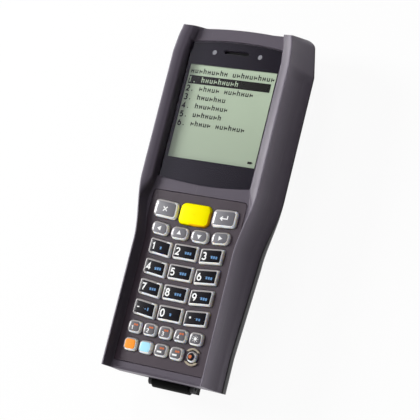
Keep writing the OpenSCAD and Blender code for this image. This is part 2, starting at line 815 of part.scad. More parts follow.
module keypad_mat() {
    color([0.75, 0.75, 0.7]) seat() difference() {
        plate(dome_z, mat_z) mat_outline();
        for (k = KEYS) translate([k[1][0], k[1][1], dome_z - over])
            cylinder(r = stem_r + flat_gap, h = mat_t + 2 * over);
    }
}

module dome_sheet() {
    color([0.8, 0.78, 0.7]) seat() {
        plate(board_z, dome_z) mat_outline();
        for (k = KEYS) translate([k[1][0], k[1][1], dome_z - 0.01]) cylinder(r = stem_r - 0.2, h = 0.12);
    }
}

// ---- Electronics ----
board_low = keypad_low - mat_in;
board_top = face_top - face_plate - 0.4;
board_step = 20;                            // where the board changes width towards the scanning end
cell_at = [15.5, -12];
can_at = [-17, -24];
antenna_at = [17, 2];
antenna_t = 0.8;
antenna_foot = 1.2;
module main_board() {
    color([0.1, 0.35, 0.2]) seat() difference() {
        union() {
            block([-board_half, -board_low, under_z], [board_half, board_step, board_z]);
            block([-panel_half - board_margin, -panel_low - 8.5, under_z],
                [panel_half + board_margin, panel_top + 3.5, board_z]);
            block([-board_tip_half, board_step, under_z], [board_tip_half, board_top, board_z]);
        }
        for (p = board_screw_places) translate([p[0], p[1], under_z - over])
            cylinder(r = board_screw_r + 0.1, h = board_t + 2 * over);
    }
}

module board_screws() {
    color("silver") seat() for (p = board_screw_places) translate([p[0], p[1], under_z]) difference() {
        union() {
            translate([0, 0, -board_screw_head_t]) cylinder(r = board_screw_head_r, h = board_screw_head_t);
            cylinder(r = board_screw_r, h = board_t + board_screw_bite);
        }
        translate([0, 0, -board_screw_head_t - over]) cylinder(r = 0.7, h = over + 0.6, $fn = 6);
    }
}

module can_block(inset, z_high) {
    translate([can_at[0] + inset, can_at[1] + inset, under_z - can_h + inset])
        cube([can_w - 2 * inset, can_len - 2 * inset, can_h - inset + z_high]);
}

module shield_can() {
    color([0.75, 0.75, 0.78]) seat() difference() {
        can_block(0, 0);
        can_block(can_sheet, over);
    }
}

module backup_cell() {
    color([0.8, 0.8, 0.8]) seat() translate([cell_at[0], cell_at[1], under_z - cell_t]) {
        cylinder(r = cell_r - 0.8, h = cell_t);
        translate([0, 0, 0.4]) cylinder(r = cell_r, h = cell_t - 0.4);
    }
}

module antenna() {
    color([0.2, 0.2, 0.5]) seat() {
        translate([antenna_at[0], antenna_at[1], under_z - antenna_t]) {
            cube([antenna_w, antenna_len, antenna_t]);
            translate([1, 1, -antenna_foot]) cube([antenna_w / 4, 3, antenna_foot]);
        }
    }
}

engine_end = board_top - 1.4;
module scan_engine() {
    color([0.12, 0.12, 0.12]) seat() difference() {
        block([-engine_w / 2, engine_end - engine_len, window_z - engine_drop],
            [engine_w / 2, engine_end, under_z]);
        block([2.5 - engine_w / 2, engine_end - 3.6, window_z - 2.2],
            [engine_w / 2 - 2.5, engine_end + over, window_z + 2.0]);
        for (side = [-1, 1]) translate([side * (engine_w / 2 - 1.4), engine_end - 7.6,
            window_z - engine_drop - over]) cylinder(r = 0.7, h = 3);
    }
}

module scan_window() {
    color([0.35, 0.05, 0.07, 0.6]) seat() on_tip() translate([0, 0, -window_t])
        linear_extrude(window_t - 0.2) round_rect(window_w, window_h, 0.6);
}

// ---- Battery ----
module battery_pack() {
    color([0.16, 0.17, 0.2]) seat() difference() {
        block([-battery_w / 2, -battery_low, bay_roof - flat_gap - battery_t],
            [battery_w / 2, -battery_low + battery_len, bay_roof - flat_gap]);
        for (i = [-1.5:1.5]) translate([i * 2.5 - 0.9, -battery_low + battery_len - 0.4, contact_z - 1.5])
            cube([1.8, 1, 3]);
    }
}

module battery_contacts() {
    color([0.1, 0.1, 0.1]) seat() {
        block([-contact_half, -battery_low + battery_len + 0.3, contact_z - 3],
            [contact_half, -bay_top + wall, contact_z + 3]);
    }
}

module battery_seal() {
    color([0.1, 0.1, 0.1]) seat() plate(ledge_z - flat_gap, ledge_z) difference() {
        seal_shape(0);
        seal_shape(-seal_w);
    }
}

module battery_cover() {
    color([0.17, 0.155, 0.19]) seat() difference() {
        plate(back_z + cover_in, back_z + cover_in + cover_t) cover_shape(0);
        translate([0, cover_screw_y, back_z - over]) cylinder(r = cover_screw_r + 0.05, h = 10);
        translate([0, cover_screw_y, back_z - over])
            cylinder(r = cover_screw_head + 0.2, h = cover_in + screw_rim + over);
        // Finger scoop
        translate([-9, -cover_top - 6, back_z - 8.2]) rotate([0, 90, 0]) cylinder(r = 9.2, h = 18);
    }
}

module cover_screw() {
    color("silver") seat() translate([0, cover_screw_y, back_z + cover_in]) difference() {
        union() {
            cylinder(r = cover_screw_head, h = screw_rim);
            cylinder(r = cover_screw_r, h = 8.2);
        }
        block([-2.4, -0.4, -over], [2.4, 0.4, 0.5]);
    }
}

// ---- Bottom end ----
module dock_connector() {
    color([0.05, 0.05, 0.05]) seat() difference() {
        block([-dock_half, foot_wall_y + 0.3, dock_z - dock_h / 2],
            [dock_half, foot_wall_y + 0.3 + dock_len, dock_z + dock_h / 2]);
        for (i = [-4:4]) block([i * 1.7 - 0.5, foot_wall_y, dock_z - 1.6],
            [i * 1.7 + 0.5, foot_wall_y + 0.7, dock_z + 1.6]);
    }
}

flap_y = foot_wall_y - flat_gap;
module port_cover() {
    color([0.03, 0.03, 0.03]) seat() difference() {
        union() {
            hinge_axis(barrel_r, flap_half);
            block([-flap_half, flap_y - flap_t, -flap_depth], [flap_half, flap_y, -hinge_depth]);
        }
        hinge_axis(pin_r + 0.07, flap_half + over);
        // Finger lip along the free edge
        translate([-flap_half - over, flap_y - flap_t - 0.6, -flap_depth + 2.2]) rotate([0, 90, 0])
            cylinder(r = 1.1, h = 2 * flap_half + 2 * over);
    }
}

module port_cover_pin() {
    color("silver") seat() hinge_axis(pin_r, flap_half + flat_gap + ear_t);
}

grey_key = [0.45, 0.45, 0.47];
dark_key = [0.1, 0.1, 0.12];

front_housing();
back_housing();
keypad_bezel();
power_guard();
display_lens();
window_mask();
lcd_panel();
lcd_frame();
backlight_plate();
status_lights();
speaker();
speaker_mesh();
keypad_mat();
dome_sheet();
main_board();
shield_can();
backup_cell();
antenna();
scan_engine();
scan_window();
battery_pack();
battery_contacts();
battery_seal();
battery_cover();
cover_screw();
housing_gasket();
housing_screws();
board_screws();
dock_connector();
port_cover();
port_cover_pin();
color(grey_key) key("key_esc");  // key_esc
color([1, 0.9, 0]) key("key_scan");  // key_scan
color(grey_key) key("key_enter");  // key_enter
color(grey_key) key("key_left");  // key_left
color(grey_key) key("key_up");  // key_up
color(grey_key) key("key_down");  // key_down
color(grey_key) key("key_right");  // key_right
color(dark_key) key("key_1");  // key_1
color(dark_key) key("key_2");  // key_2
color(dark_key) key("key_3");  // key_3
color(dark_key) key("key_4");  // key_4
color(dark_key) key("key_5");  // key_5
color(dark_key) key("key_6");  // key_6
color(dark_key) key("key_7");  // key_7
color(dark_key) key("key_8");  // key_8
color(dark_key) key("key_9");  // key_9
color(dark_key) key("key_minus");  // key_minus
color(dark_key) key("key_0");  // key_0
color(dark_key) key("key_dot");  // key_dot
color(grey_key) key("key_f1");  // key_f1
color(grey_key) key("key_f2");  // key_f2
color(grey_key) key("key_f3");  // key_f3
color(grey_key) key("key_f4");  // key_f4
color(grey_key) key("key_light");  // key_light
color([0.96, 0.6, 0.2]) key("key_orange");  // key_orange
color([0.6, 0.85, 0.95]) key("key_blue");  // key_blue
color(grey_key) key("key_space");  // key_space
color(grey_key) key("key_back");  // key_back
color(dark_key) key("key_power");  // key_power
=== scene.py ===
# %% [markdown]
# # A handheld barcode data terminal
# The real terminal is a moulded hand-held computer: a dark front shell with raised side rails, a
# black back shell, a clear display window, and a rubber keypad whose caps have clear rims.
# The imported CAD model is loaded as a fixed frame, and its visible surfaces are dressed here. Simple
# pieces keep their CAD shape and get a material. The shells and the key caps need finer, softer
# surfaces than CAD gives, so they are worked out again from the same sizes.

# %% Tools and frame
import math
from collections import namedtuple

import bmesh
import bpy
import numpy as np
from mathutils import Matrix, Vector


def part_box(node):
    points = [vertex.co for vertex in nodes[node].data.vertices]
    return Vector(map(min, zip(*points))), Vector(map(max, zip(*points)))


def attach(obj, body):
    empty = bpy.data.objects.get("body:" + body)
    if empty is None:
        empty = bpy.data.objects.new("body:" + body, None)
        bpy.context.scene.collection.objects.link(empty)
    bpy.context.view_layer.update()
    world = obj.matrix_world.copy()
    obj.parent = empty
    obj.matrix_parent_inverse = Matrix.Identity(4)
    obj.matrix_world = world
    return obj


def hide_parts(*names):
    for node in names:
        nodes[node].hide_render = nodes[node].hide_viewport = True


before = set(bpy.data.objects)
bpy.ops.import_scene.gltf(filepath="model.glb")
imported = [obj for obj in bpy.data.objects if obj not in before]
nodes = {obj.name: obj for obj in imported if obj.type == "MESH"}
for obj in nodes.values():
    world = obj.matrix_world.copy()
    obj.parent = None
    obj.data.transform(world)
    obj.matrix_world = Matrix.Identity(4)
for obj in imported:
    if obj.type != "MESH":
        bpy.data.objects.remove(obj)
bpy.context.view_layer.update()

# %% [markdown]
# ## Measures
# Dressing has to fit its solids to a fraction of a millimetre, so the sizes are those of the CAD
# source. All of them are millimetres about the centre of the display, on the front face plane, with x
# to the right, y towards the scanning end and z out of the face. `place` turns such points into
# metres in the part's frame. Its shift is read from the lens's box, so that it follows the frame.

# %% Measures
HEAD_END, FOOT_END = 44.8, 126.8
HEAD_HALF, GRIP_HALF, FOOT_HALF = 35.5, 30.4, 27.7
FRONT_DEPTH, BACK_DEPTH = 15.0, 17.0
WALL, FACE_PLATE, CHAMFER = 2.0, 2.2, 1.2
RAIL_HEIGHT, CREST_HEAD, CREST_GRIP, CREST_TIP = 4.8, 31.3, 26.8, 29.2
STRIP_HEAD, STRIP_GRIP, STRIP_HEIGHT = 6.2, 2.9, 3.4
WAIST_TOP, WAIST_LOW = 34.0, 66.0
SCOOP_END, SCOOP_DEPTH, TIP_START = 25.0, 0.8, 27.0
TIP_LEAN, TIP_NOTCH, FACE_TOP, FACE_TOP_R = 3.2, 7.0, 41.6, 222.0
BEZEL_TOP, BEZEL_LOW, BEZEL_HALF, BEZEL_T = 40.3, 122.6, 24.9, 1.3
LENS_HALF, LENS_TOP, LENS_LOW, LENS_R, LENS_T = 24.95, 35.6, 35.1, 170.0, 1.2
KEY_RISE, KEY_FLOOR, CROWN_R = 1.6, 2.4, 60.0
BACK_SLOPE, GRIP_BULGE, STRAIGHT_HEAD, STRAIGHT_GRIP = 0.49, 0.35, 0.6, 3.5
HINGE_Y, HINGE_Z, FLAP_HALF, FLAP_GAP = -127.5, -18.6, 9.8, 0.3
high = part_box("display_lens")[1]
SHIFT = np.array([0.0, high.y * 1000 - LENS_TOP, high.z * 1000])


def place(points):
    """Millimetres about the display's centre to metres in the part's frame."""
    return (np.asarray(points, float) + SHIFT) / 1000


print("shift", SHIFT.round(3).tolist())

# %% [markdown]
# ## Meshes from arrays
# Moulded surfaces could be modelled by hand, but a formula keeps them even. A surface is a grid of
# points, with rows along one parameter and columns along the other. `grid_quads` numbers its faces,
# and `add_object` hands points and faces to Blender in one go.

# %% From a grid to an object
def grid_quads(rows, cols, wrap):
    """Faces of a rows by cols grid: point i * cols + j joins its neighbour in the row and the two
    above them. With wrap, the last column joins the first."""
    i, j = np.meshgrid(np.arange(rows - 1), np.arange(cols if wrap else cols - 1), indexing="ij")
    k = (j + 1) % cols
    quads = np.stack([i * cols + j, i * cols + k, (i + 1) * cols + k, (i + 1) * cols + j], -1)
    return quads.reshape(-1, 4)


def add_object(name, points, faces, materials, index=None, smooth_angle=35.0, metres=False):
    """Object from points in millimetres, a list of faces and one material number per face."""
    mesh = bpy.data.meshes.new(name)
    mesh.from_pydata((points if metres else place(points)).tolist(), [], [list(f) for f in faces])
    for look in materials:
        mesh.materials.append(look)
    if index is not None:
        mesh.polygons.foreach_set("material_index", np.asarray(index, np.int32))
    obj = bpy.data.objects.new(name, mesh)
    bpy.context.scene.collection.objects.link(obj)
    shade(obj, smooth_angle)
    return obj


def shade(obj, smooth_angle):
    """Smooth shading, with edges sharper than the angle kept sharp."""
    mesh = obj.data
    mesh.polygons.foreach_set("use_smooth", np.ones(len(mesh.polygons), bool))
    mesh.set_sharp_from_angle(angle=math.radians(smooth_angle))
    mesh.update()


print("a 3 by 4 grid has", len(grid_quads(3, 4, False)), "faces")

# %% [markdown]
# ## Solids from rings
# A casing, a hole's cutter and a screw's counterbore are all the same thing here: closed outlines of
# equal length, one behind the other, with a face across each end. Blender then turns all faces
# outwards.

# %% Solids from rings
def solid(name, rings, materials=()):
    """Closed solid through rings of equal length, with a face across each end, turned outwards."""
    rings = np.asarray(rings, float)
    m, n = rings.shape[:2]
    ends = [list(range(n))[::-1], list(range((m - 1) * n, m * n))]
    obj = add_object(name, rings.reshape(-1, 3), grid_quads(m, n, True).tolist() + ends, materials)
    turned = bmesh.new()
    turned.from_mesh(obj.data)
    bmesh.ops.recalc_face_normals(turned, faces=turned.faces)
    turned.to_mesh(obj.data)
    turned.free()
    return obj


def pairs(first, second):
    """Flat points from two coordinates, each a list or one value for all points."""
    return np.stack(np.broadcast_arrays(first, second), -1).astype(float)


def level(outline, z):
    """Flat points lifted to height z, which is one value or a list."""
    return np.column_stack([outline, np.broadcast_to(z, len(outline))]).astype(float)


print("a square's rings", np.shape([level([[0, 0], [1, 0], [1, 1], [0, 1]], z) for z in (0, 1)]))

# %% [markdown]
# ## Outlines and plain solids
# Most openings of a moulded casing are round rectangles or circles, because a milled tool has no
# sharp inner corners. Both are outlines here, so that the same one can be a hole, a recess or a key.
# A prism, a box and a profile run across are the three solids that cut with them.

# %% Outlines and plain solids
def round_rect(half_w, half_h, r, corner=8, side=1, centre=(0.0, 0.0)):
    """Rectangle with round corners as an anticlockwise outline: a quarter circle about each corner's
    centre, and side points spread evenly along each straight part."""
    turn = np.radians(np.linspace(0, 90, corner + 1))
    spots = []
    for quarter, (sx, sy) in enumerate([(1, 1), (-1, 1), (-1, -1), (1, -1)]):
        a = turn + math.radians(90 * quarter)
        spots.append(pairs(sx * (half_w - r) + r * np.cos(a), sy * (half_h - r) + r * np.sin(a)))
    outline = []
    for quarter in range(4):
        start, end = spots[quarter], spots[(quarter + 1) % 4]
        outline.append(start)
        t = np.linspace(0, 1, side + 2)[1:-1, None]
        outline.append(start[-1] * (1 - t) + end[0] * t)
    return np.vstack(outline) + np.asarray(centre)


def disc(r, centre=(0.0, 0.0), n=40):
    """Circle as an outline of n points: radius times cosine and sine of even angles."""
    a = np.linspace(0, 2 * np.pi, n, endpoint=False)
    return pairs(r * np.cos(a), r * np.sin(a)) + np.asarray(centre)


def prism(name, outline, z_low, z_high):
    """Straight solid between two heights."""
    return solid(name, [level(outline, z_low), level(outline, z_high)])


def box(name, lo, hi):
    """Box between two opposite corners."""
    centre, half = (np.add(lo, hi) / 2)[:2], (np.subtract(hi, lo) / 2)[:2]
    outline = np.array([[1, -1], [1, 1], [-1, 1], [-1, -1]]) * half + centre
    return prism(name, outline, lo[2], hi[2])


def across(outline, x_low, x_high):
    """Outline in (y, z) run from x_low to x_high, as rings of a solid."""
    return [level(outline, x)[:, [2, 0, 1]] for x in (x_low, x_high)]


print("a round rectangle has", len(round_rect(10, 5, 1)), "points")

# %% [markdown]
# ## Cutting and rounding
# Openings are cut with Boolean modifiers, which are applied at once, so that the cutters can go.
# Rounding by a Bevel modifier would break on the many cut edges, so the rounds along the shells are
# part of their sections: `fillets` bends each corner of a section into a short curve.

# %% Cutting and rounding
def carve(obj, *cutters):
    """Takes each cutter out of obj for good, and removes the cutters."""
    for cutter in cutters:
        cut = obj.modifiers.new("cut", "BOOLEAN")
        cut.operation, cut.solver, cut.object = "DIFFERENCE", "EXACT", cutter
    graph = bpy.context.evaluated_depsgraph_get()
    baked = bpy.data.meshes.new_from_object(obj.evaluated_get(graph))
    obj.modifiers.clear()
    obj.data = baked
    for cutter in cutters:
        bpy.data.objects.remove(cutter)
    return obj


def fillets(corners, radii, steps=5):
    """Rounds each inner corner of open polylines (rows, corner, 2) with a curve that starts at the
    given distance before the corner, ends as far after it, and is pulled towards the corner."""
    parts = [corners[:, :1]]
    for i in range(1, corners.shape[1] - 1):
        before, at, after = corners[:, i - 1], corners[:, i], corners[:, i + 1]
        d0, d1 = before - at, after - at
        l0, l1 = np.linalg.norm(d0, axis=1), np.linalg.norm(d1, axis=1)
        reach = np.minimum(radii[i], 0.45 * np.minimum(l0, l1))
        p0 = at + d0 * (reach / l0)[:, None]
        p1 = at + d1 * (reach / l1)[:, None]
        t = np.linspace(0, 1, steps)[None, :, None]
        curve = p0[:, None] * (1 - t) ** 2 + 2 * at[:, None] * t * (1 - t) + p1[:, None] * t ** 2
        parts.append(curve if radii[i] else at[:, None])
    parts.append(corners[:, -1:])
    return np.concatenate(parts, axis=1)


bent = fillets(np.array([[[0.0, 0], [4, 0], [4, 4]]]), [0, 1, 0])
print("a bent corner has", bent.shape[1], "points")

# %% [markdown]
# ## Shader nodes in one line
# A material's nodes can be placed by hand, but in a script each node takes many lines. `add_node`
# makes a node and fills its inputs at once, and `feed` decides for each input whether it is linked
# or set.

# %% Node helpers
def feed(tree, target, value):
    """Links a node's first live output, or an output, to an input, and sets anything else as value."""
    if isinstance(value, bpy.types.Node):
        value = next(output for output in value.outputs if output.enabled)
    if isinstance(value, bpy.types.NodeSocket):
        tree.links.new(value, target)
    else:
        target.default_value = value


def add_node(tree, kind, *values, operation=None, data_type=None, **named):
    """Adds a shader node and feeds its inputs, in order or by name with _ for a space."""
    made = tree.nodes.new("ShaderNode" + kind)
    if operation:
        made.operation = operation
    if data_type:
        made.data_type = data_type
    for key, value in [*enumerate(values), *named.items()]:
        feed(tree, made.inputs[key if isinstance(key, int) else key.replace("_", " ")], value)
    return made


print("node helpers ready")

# %% [markdown]
# ## Surface detail
# Moulded plastic is never one flat colour: the tool leaves a fine grain, the colour drifts a little,
# and use leaves hair lines. One node group makes all three from Object coordinates, with the amounts
# as its inputs, so that every material shares it and sets its own values.

# %% The surface group
def make_surface_group():
    """Colour, roughness and height of a surface: noise drifts the colour by a few hundredths,
    stretched noise above a threshold gives the hair lines, and fine noise gives the grain."""
    group = bpy.data.node_groups.new("surface_detail", "ShaderNodeTree")
    for name, kind, way, value in (
            ("Color", "Color", "INPUT", (0.5, 0.5, 0.5, 1)), ("Roughness", "Float", "INPUT", 0.5),
            ("Grain", "Float", "INPUT", 2600.0), ("Blotch", "Float", "INPUT", 0.1),
            ("Scratch", "Float", "INPUT", 0.1), ("Color", "Color", "OUTPUT", None),
            ("Roughness", "Float", "OUTPUT", None), ("Height", "Float", "OUTPUT", None)):
        made = group.interface.new_socket(name=name, in_out=way, socket_type="NodeSocket" + kind)
        if value is not None:
            made.default_value = value
    given = group.nodes.new("NodeGroupInput").outputs
    result = group.nodes.new("NodeGroupOutput").inputs
    spot = add_node(group, "TexCoord").outputs["Object"]
    fine = add_node(group, "TexNoise", Vector=spot, Scale=given["Grain"], Detail=3.0)
    wide = add_node(group, "TexNoise", Vector=spot, Scale=55.0, Detail=4.0)
    drawn = add_node(group, "VectorMath", spot, (900.0, 45.0, 900.0), operation="MULTIPLY")
    lines = add_node(group, "TexNoise", Vector=drawn, Scale=1.0)
    hair = add_node(group, "MapRange", Value=lines, From_Min=0.66, From_Max=0.72)
    scratch = add_node(group, "Math", hair, given["Scratch"], operation="MULTIPLY")
    centred = add_node(group, "Math", wide, 0.5, operation="SUBTRACT")
    drift = add_node(group, "Math", centred, given["Blotch"], operation="MULTIPLY")
    around_one = add_node(group, "Math", drift, 1.0, operation="ADD")
    tint = add_node(group, "VectorMath", given["Color"], Scale=around_one, operation="SCALE")
    feed(group, result["Color"],
         add_node(group, "Mix", Factor=scratch, A=tint, B=(0.5, 0.5, 0.5, 1), data_type="RGBA"))
    feed(group, result["Roughness"],
         add_node(group, "Math", drift, 1.2, given["Roughness"], operation="MULTIPLY_ADD"))
    feed(group, result["Height"], add_node(group, "Math", fine, scratch, operation="SUBTRACT"))
    return group


DETAIL = make_surface_group()
print("surface group nodes", len(DETAIL.nodes))

# %% [markdown]
# ## One recipe for every finish
# Plastic, rubber, print and metal differ in colour, sheen and softness. The Principled shader has
# all of these, so one function fills it in: the group gives colour, roughness and relief, and the
# plain values go straight onto the shader. Clear rubber lets light in, which is its Subsurface.

# %% Material recipe
RELIEF_DEPTH = 0.0002
RUBBER_REACH = (0.0022, 0.0020, 0.0017)
M = {}


def material(name, color, roughness=0.5, metallic=0.0, grain=2600.0, blotch=0.15, scratch=0.0,
             bump=0.05, coat=0.0, soft=0.0, specular=0.5):
    """Principled material whose colour, roughness and relief come from the surface group, kept in M."""
    mat = M[name] = bpy.data.materials.new(name)
    mat.use_nodes = True
    tree = mat.node_tree
    shader = tree.nodes["Principled BSDF"].inputs
    detail = tree.nodes.new("ShaderNodeGroup")
    detail.name, detail.node_tree = "detail", DETAIL
    for key, value in (("Color", (*color, 1)), ("Roughness", roughness), ("Grain", grain),
                       ("Blotch", blotch), ("Scratch", scratch)):
        detail.inputs[key].default_value = value
    for key, value in (("Metallic", metallic), ("Coat Weight", coat), ("Coat Roughness", 0.08),
                       ("Subsurface Weight", soft), ("Subsurface Radius", RUBBER_REACH),
                       ("Subsurface Scale", 1.0), ("Specular IOR Level", specular)):
        shader[key].default_value = value
    feed(tree, shader["Base Color"], detail.outputs["Color"])
    feed(tree, shader["Roughness"], detail.outputs["Roughness"])
    feed(tree, shader["Normal"],
         add_node(tree, "Bump", Strength=bump, Distance=RELIEF_DEPTH, Height=detail.outputs["Height"]))
    return mat


def object_axes(tree):
    """X, Y and Z of the Object coordinates, in metres."""
    return add_node(tree, "SeparateXYZ", add_node(tree, "TexCoord").outputs["Object"]).outputs


print("recipe ready")

# %% [markdown]
# ## Finishes of the casing and of the inner pieces
# The front shell is a dark, slightly violet plastic with a fine grain, the back is nearly black, and
# the keypad bezel is painted. The crests of the rails get a painted highlight, lighter with height.

# %% Casing and inner finishes
material("housing_front", (0.086, 0.073, 0.095), 0.44, blotch=0.16, scratch=0.03,
         bump=0.22, grain=3200, specular=0.22)
material("housing_back", (0.016, 0.015, 0.017), 0.50, blotch=0.16, scratch=0.03,
         bump=0.25, grain=3000)
material("bezel", (0.039, 0.026, 0.037), 0.46, blotch=0.12, bump=0.16, grain=3400,
         specular=0.33)
material("guard", (0.34, 0.29, 0.21), 0.45, bump=0.1)
material("mask", (0.011, 0.009, 0.014), 0.4, blotch=0.05, bump=0.0, specular=0.0)
material("dark_plastic", (0.018, 0.018, 0.02), 0.45, bump=0.12)
material("white_plastic", (0.82, 0.82, 0.79), 0.35)
material("light_pipe", (0.28, 0.28, 0.31), 0.3, blotch=0.2, specular=0.2)
material("mesh", (0.006, 0.006, 0.007), 0.5, specular=0.1)
material("mat", (0.55, 0.55, 0.52), 0.6)
material("steel", (0.55, 0.55, 0.56), 0.28, metallic=1.0, grain=900, scratch=0.2)
material("board", (0.015, 0.10, 0.045), 0.4, grain=700, blotch=0.3)
material("tin", (0.62, 0.62, 0.64), 0.35, metallic=1.0, scratch=0.2)
material("ceramic", (0.09, 0.11, 0.22), 0.3)
material("scan_glass", (0.16, 0.006, 0.012), 0.06, blotch=0.05, bump=0.0, coat=1.0)
material("battery", (0.045, 0.05, 0.065), 0.5, scratch=0.05, bump=0.15)
material("rubber", (0.006, 0.006, 0.006), 0.45, bump=0.12, blotch=0.3, specular=0.06)


def polish_crests(mat):
    """Lightens the top 0.8 mm of the rails, in step with the height: a painted highlight."""
    tree = mat.node_tree
    crest = (SHIFT[2] + RAIL_HEIGHT) / 1000
    crest_highlight = add_node(tree, "MapRange", Value=object_axes(tree)["Z"], From_Min=crest - 0.0008,
                   From_Max=crest, To_Max=0.35)
    feed(tree, tree.nodes["Principled BSDF"].inputs["Base Color"],
         add_node(tree, "Mix", Factor=crest_highlight, A=tree.nodes["detail"].outputs["Color"],
                  B=(0.34, 0.31, 0.37, 1), data_type="RGBA"))


# Painted highlight along the crests of the front shell's rails.
polish_crests(M["housing_front"])
print("casing and inner finishes", len(M))

# %% [markdown]
# ## Finishes of the keys and inks
# A cap is clear rubber with a printed top. On its upper left sides the rim gets painted shade, a
# darker tone of the same rubber.

# %% Key finishes
material("rim", (0.98, 0.96, 0.93), 0.28, blotch=0.06, bump=0.03, coat=0.2, soft=0.9)
# Painted shade: a darker copy of the rim for the caps' upper left sides.
material("rim_painted_shade", (0.36, 0.34, 0.34), 0.3, blotch=0.10, bump=0.03)
material("print_black", (0.007, 0.006, 0.009), 0.3, blotch=0.10, bump=0.02,
         specular=0.15)
material("print_grey", (0.15, 0.147, 0.165), 0.30, blotch=0.15, bump=0.03, coat=0.8)
material("print_dark", (0.10, 0.096, 0.108), 0.32, blotch=0.15, bump=0.03, coat=0.5)
material("yellow", (1.0, 0.87, 0.0), 0.4, blotch=0.04, bump=0.04, soft=0.15, specular=0.03)
# Painted shade: a deeper orange-yellow for the yellow key's lower right walls.
material("yellow_painted_shade", (0.95, 0.50, 0.005), 0.4, blotch=0.08, bump=0.04, soft=0.15, specular=0.12)
material("orange", (1.0, 0.32, 0.03), 0.36, blotch=0.08, bump=0.03, specular=0.25)
material("blue", (0.42, 0.80, 0.96), 0.36, blotch=0.08, bump=0.03, specular=0.25)
material("ink_white", (0.88, 0.88, 0.88), 0.4, blotch=0.05, bump=0.0, specular=0.2)
material("ink_blue", (0.14, 0.30, 0.55), 0.4, blotch=0.05, bump=0.0, specular=0.2)
material("ink_orange", (0.60, 0.15, 0.05), 0.4, blotch=0.05, bump=0.0, specular=0.2)
material("ink_lcd", (0.012, 0.012, 0.009), 0.6, blotch=0.1, bump=0.0, specular=0.0)
print("materials", len(M))

# %% [markdown]
# ## Display cell
# A reflective liquid crystal cell is grey-green, and the gaps between its dots are a little
# lighter. The dots' grid is the fraction of the coordinates counted in dots, so no image is needed.

# %% Display cell
DOT = 45.3 / 160


def make_lcd():
    """Grey-green cell, lighter towards the top, with the faint grid of its dots."""
    tree = material("panel", (0.42, 0.51, 0.36), 0.6, blotch=0.05, bump=0.0, specular=0.0).node_tree
    spot = add_node(tree, "TexCoord").outputs["Object"]
    up = add_node(tree, "MapRange", Value=add_node(tree, "SeparateXYZ", spot).outputs["Y"],
                  From_Min=(SHIFT[1] - 23) / 1000, From_Max=(SHIFT[1] + 23) / 1000)
    tone = add_node(tree, "Mix", Factor=up, A=(0.37, 0.44, 0.335, 1), B=(0.465, 0.56, 0.42, 1),
                    data_type="RGBA")
    counted = add_node(tree, "VectorMath", spot, Scale=1000 / DOT, operation="SCALE")
    within = add_node(tree, "SeparateXYZ", add_node(tree, "VectorMath", counted, operation="FRACTION"))
    to_edge = add_node(tree, "Math", within.outputs["X"], within.outputs["Y"], operation="MINIMUM")
    gap = add_node(tree, "MapRange", Value=to_edge, From_Min=0.08, From_Max=0.16, To_Min=1.06,
                   To_Max=1.0)
    feed(tree, tree.nodes["detail"].inputs["Color"],
         add_node(tree, "VectorMath", tone, Scale=gap, operation="SCALE"))


make_lcd()
print("display cell nodes", len(M["panel"].node_tree.nodes))

# %% [markdown]
# ## Display window
# Real glass would need many light paths to show the cell behind it. Only its reflection matters
# here, so the window is a mirror that is nearly see-through: Fresnel's law sets how much it shows.

# %% Display window
def make_lens():
    """Mirror whose Alpha is the Fresnel reflection from the front, and nothing from behind."""
    tree = material("lens", (0.88, 0.85, 1.0), 0.03, metallic=1.0, blotch=0.04, bump=0.0).node_tree
    behind = add_node(tree, "NewGeometry").outputs["Backfacing"]
    feed(tree, tree.nodes["Principled BSDF"].inputs["Alpha"],
         add_node(tree, "MapRange", Value=behind, To_Min=add_node(tree, "Fresnel", IOR=1.5), To_Max=0.0))


make_lens()
print("window nodes", len(M["lens"].node_tree.nodes))

# %% [markdown]
# ## Easing
# A moulded form changes its width without a kink. A cubic that starts and ends level makes such a
# change, and a plain mix of two values takes its result. A spline through points would do too, but
# this needs only the two ends.

# %% Easing
def smooth(t):
    """Eases from 0 to 1 without a corner at either end: three times t squared less twice t cubed."""
    c = np.clip(t, 0, 1)
    return c * c * (3 - 2 * c)


def mix(a, b, t):
    """Value at the share t of the way from a to b."""
    return a + (b - a) * t


print("half way", smooth(0.5), "a quarter of the way", round(float(smooth(0.25)), 3))

# %% [markdown]
# ## Lines along the shells
# Seen from the front, the casing is wide at the display and narrow at the grip. Functions of y give
# the crest of the rails, their foot, the parting line and the side scoops, as in the CAD source, so
# that both shells and every opening follow the same lines.

# %% Lines along the shells
def waist(y):
    """0 at the display, 1 at the grip."""
    return smooth((-WAIST_TOP - y) / (WAIST_LOW - WAIST_TOP))


def tip(y):
    """0 at the display, 1 at the scanning end."""
    return np.clip((y - TIP_START) / (HEAD_END - TIP_START), 0, 1)


def crest_x(y):
    """Half of the distance between the rail crests."""
    return mix(CREST_HEAD, CREST_GRIP, waist(y)) - (CREST_HEAD - CREST_TIP) * tip(y)


def part_x(y):
    """Half of the width at the parting plane: waist, taper of the grip and rounded head corners."""
    taper = np.clip((-WAIST_LOW - y) / 44, 0, 1)
    corner = np.clip((y - HEAD_END + 4) / 4, 0, 1) ** 3
    at_waist = mix(HEAD_HALF, GRIP_HALF, waist(y)) - (GRIP_HALF - FOOT_HALF) * taper
    return at_waist - 3.9 * tip(y) - 2.9 * corner


def slim(y):
    """0 at the display, 1 where the rails have become slim."""
    return smooth((-WAIST_TOP - y) / 14)


def base_x(y):
    """Half of the distance between the feet of the rails."""
    return crest_x(y) - mix(STRIP_HEAD, STRIP_GRIP, slim(y))


def scoop(y):
    """1 where the outer walls are scooped, 0 at the scanning end."""
    return smooth((SCOOP_END + 3 - y) / 6)


for y in (40, 0, -50, -120):
    print(f"at y {y}: width {2 * part_x(y):.1f}, between crests {2 * crest_x(y):.1f} mm")

# %% [markdown]
# ## Stacks of sections
# A shell could be a subdivided cage, but its crest and parting edge have to keep their place. So
# each shell is a stack of sections across y, closer together where the form changes fast. Each
# section is mirrored, and pushed along y with its height, so that the ends lean as the real ones do.

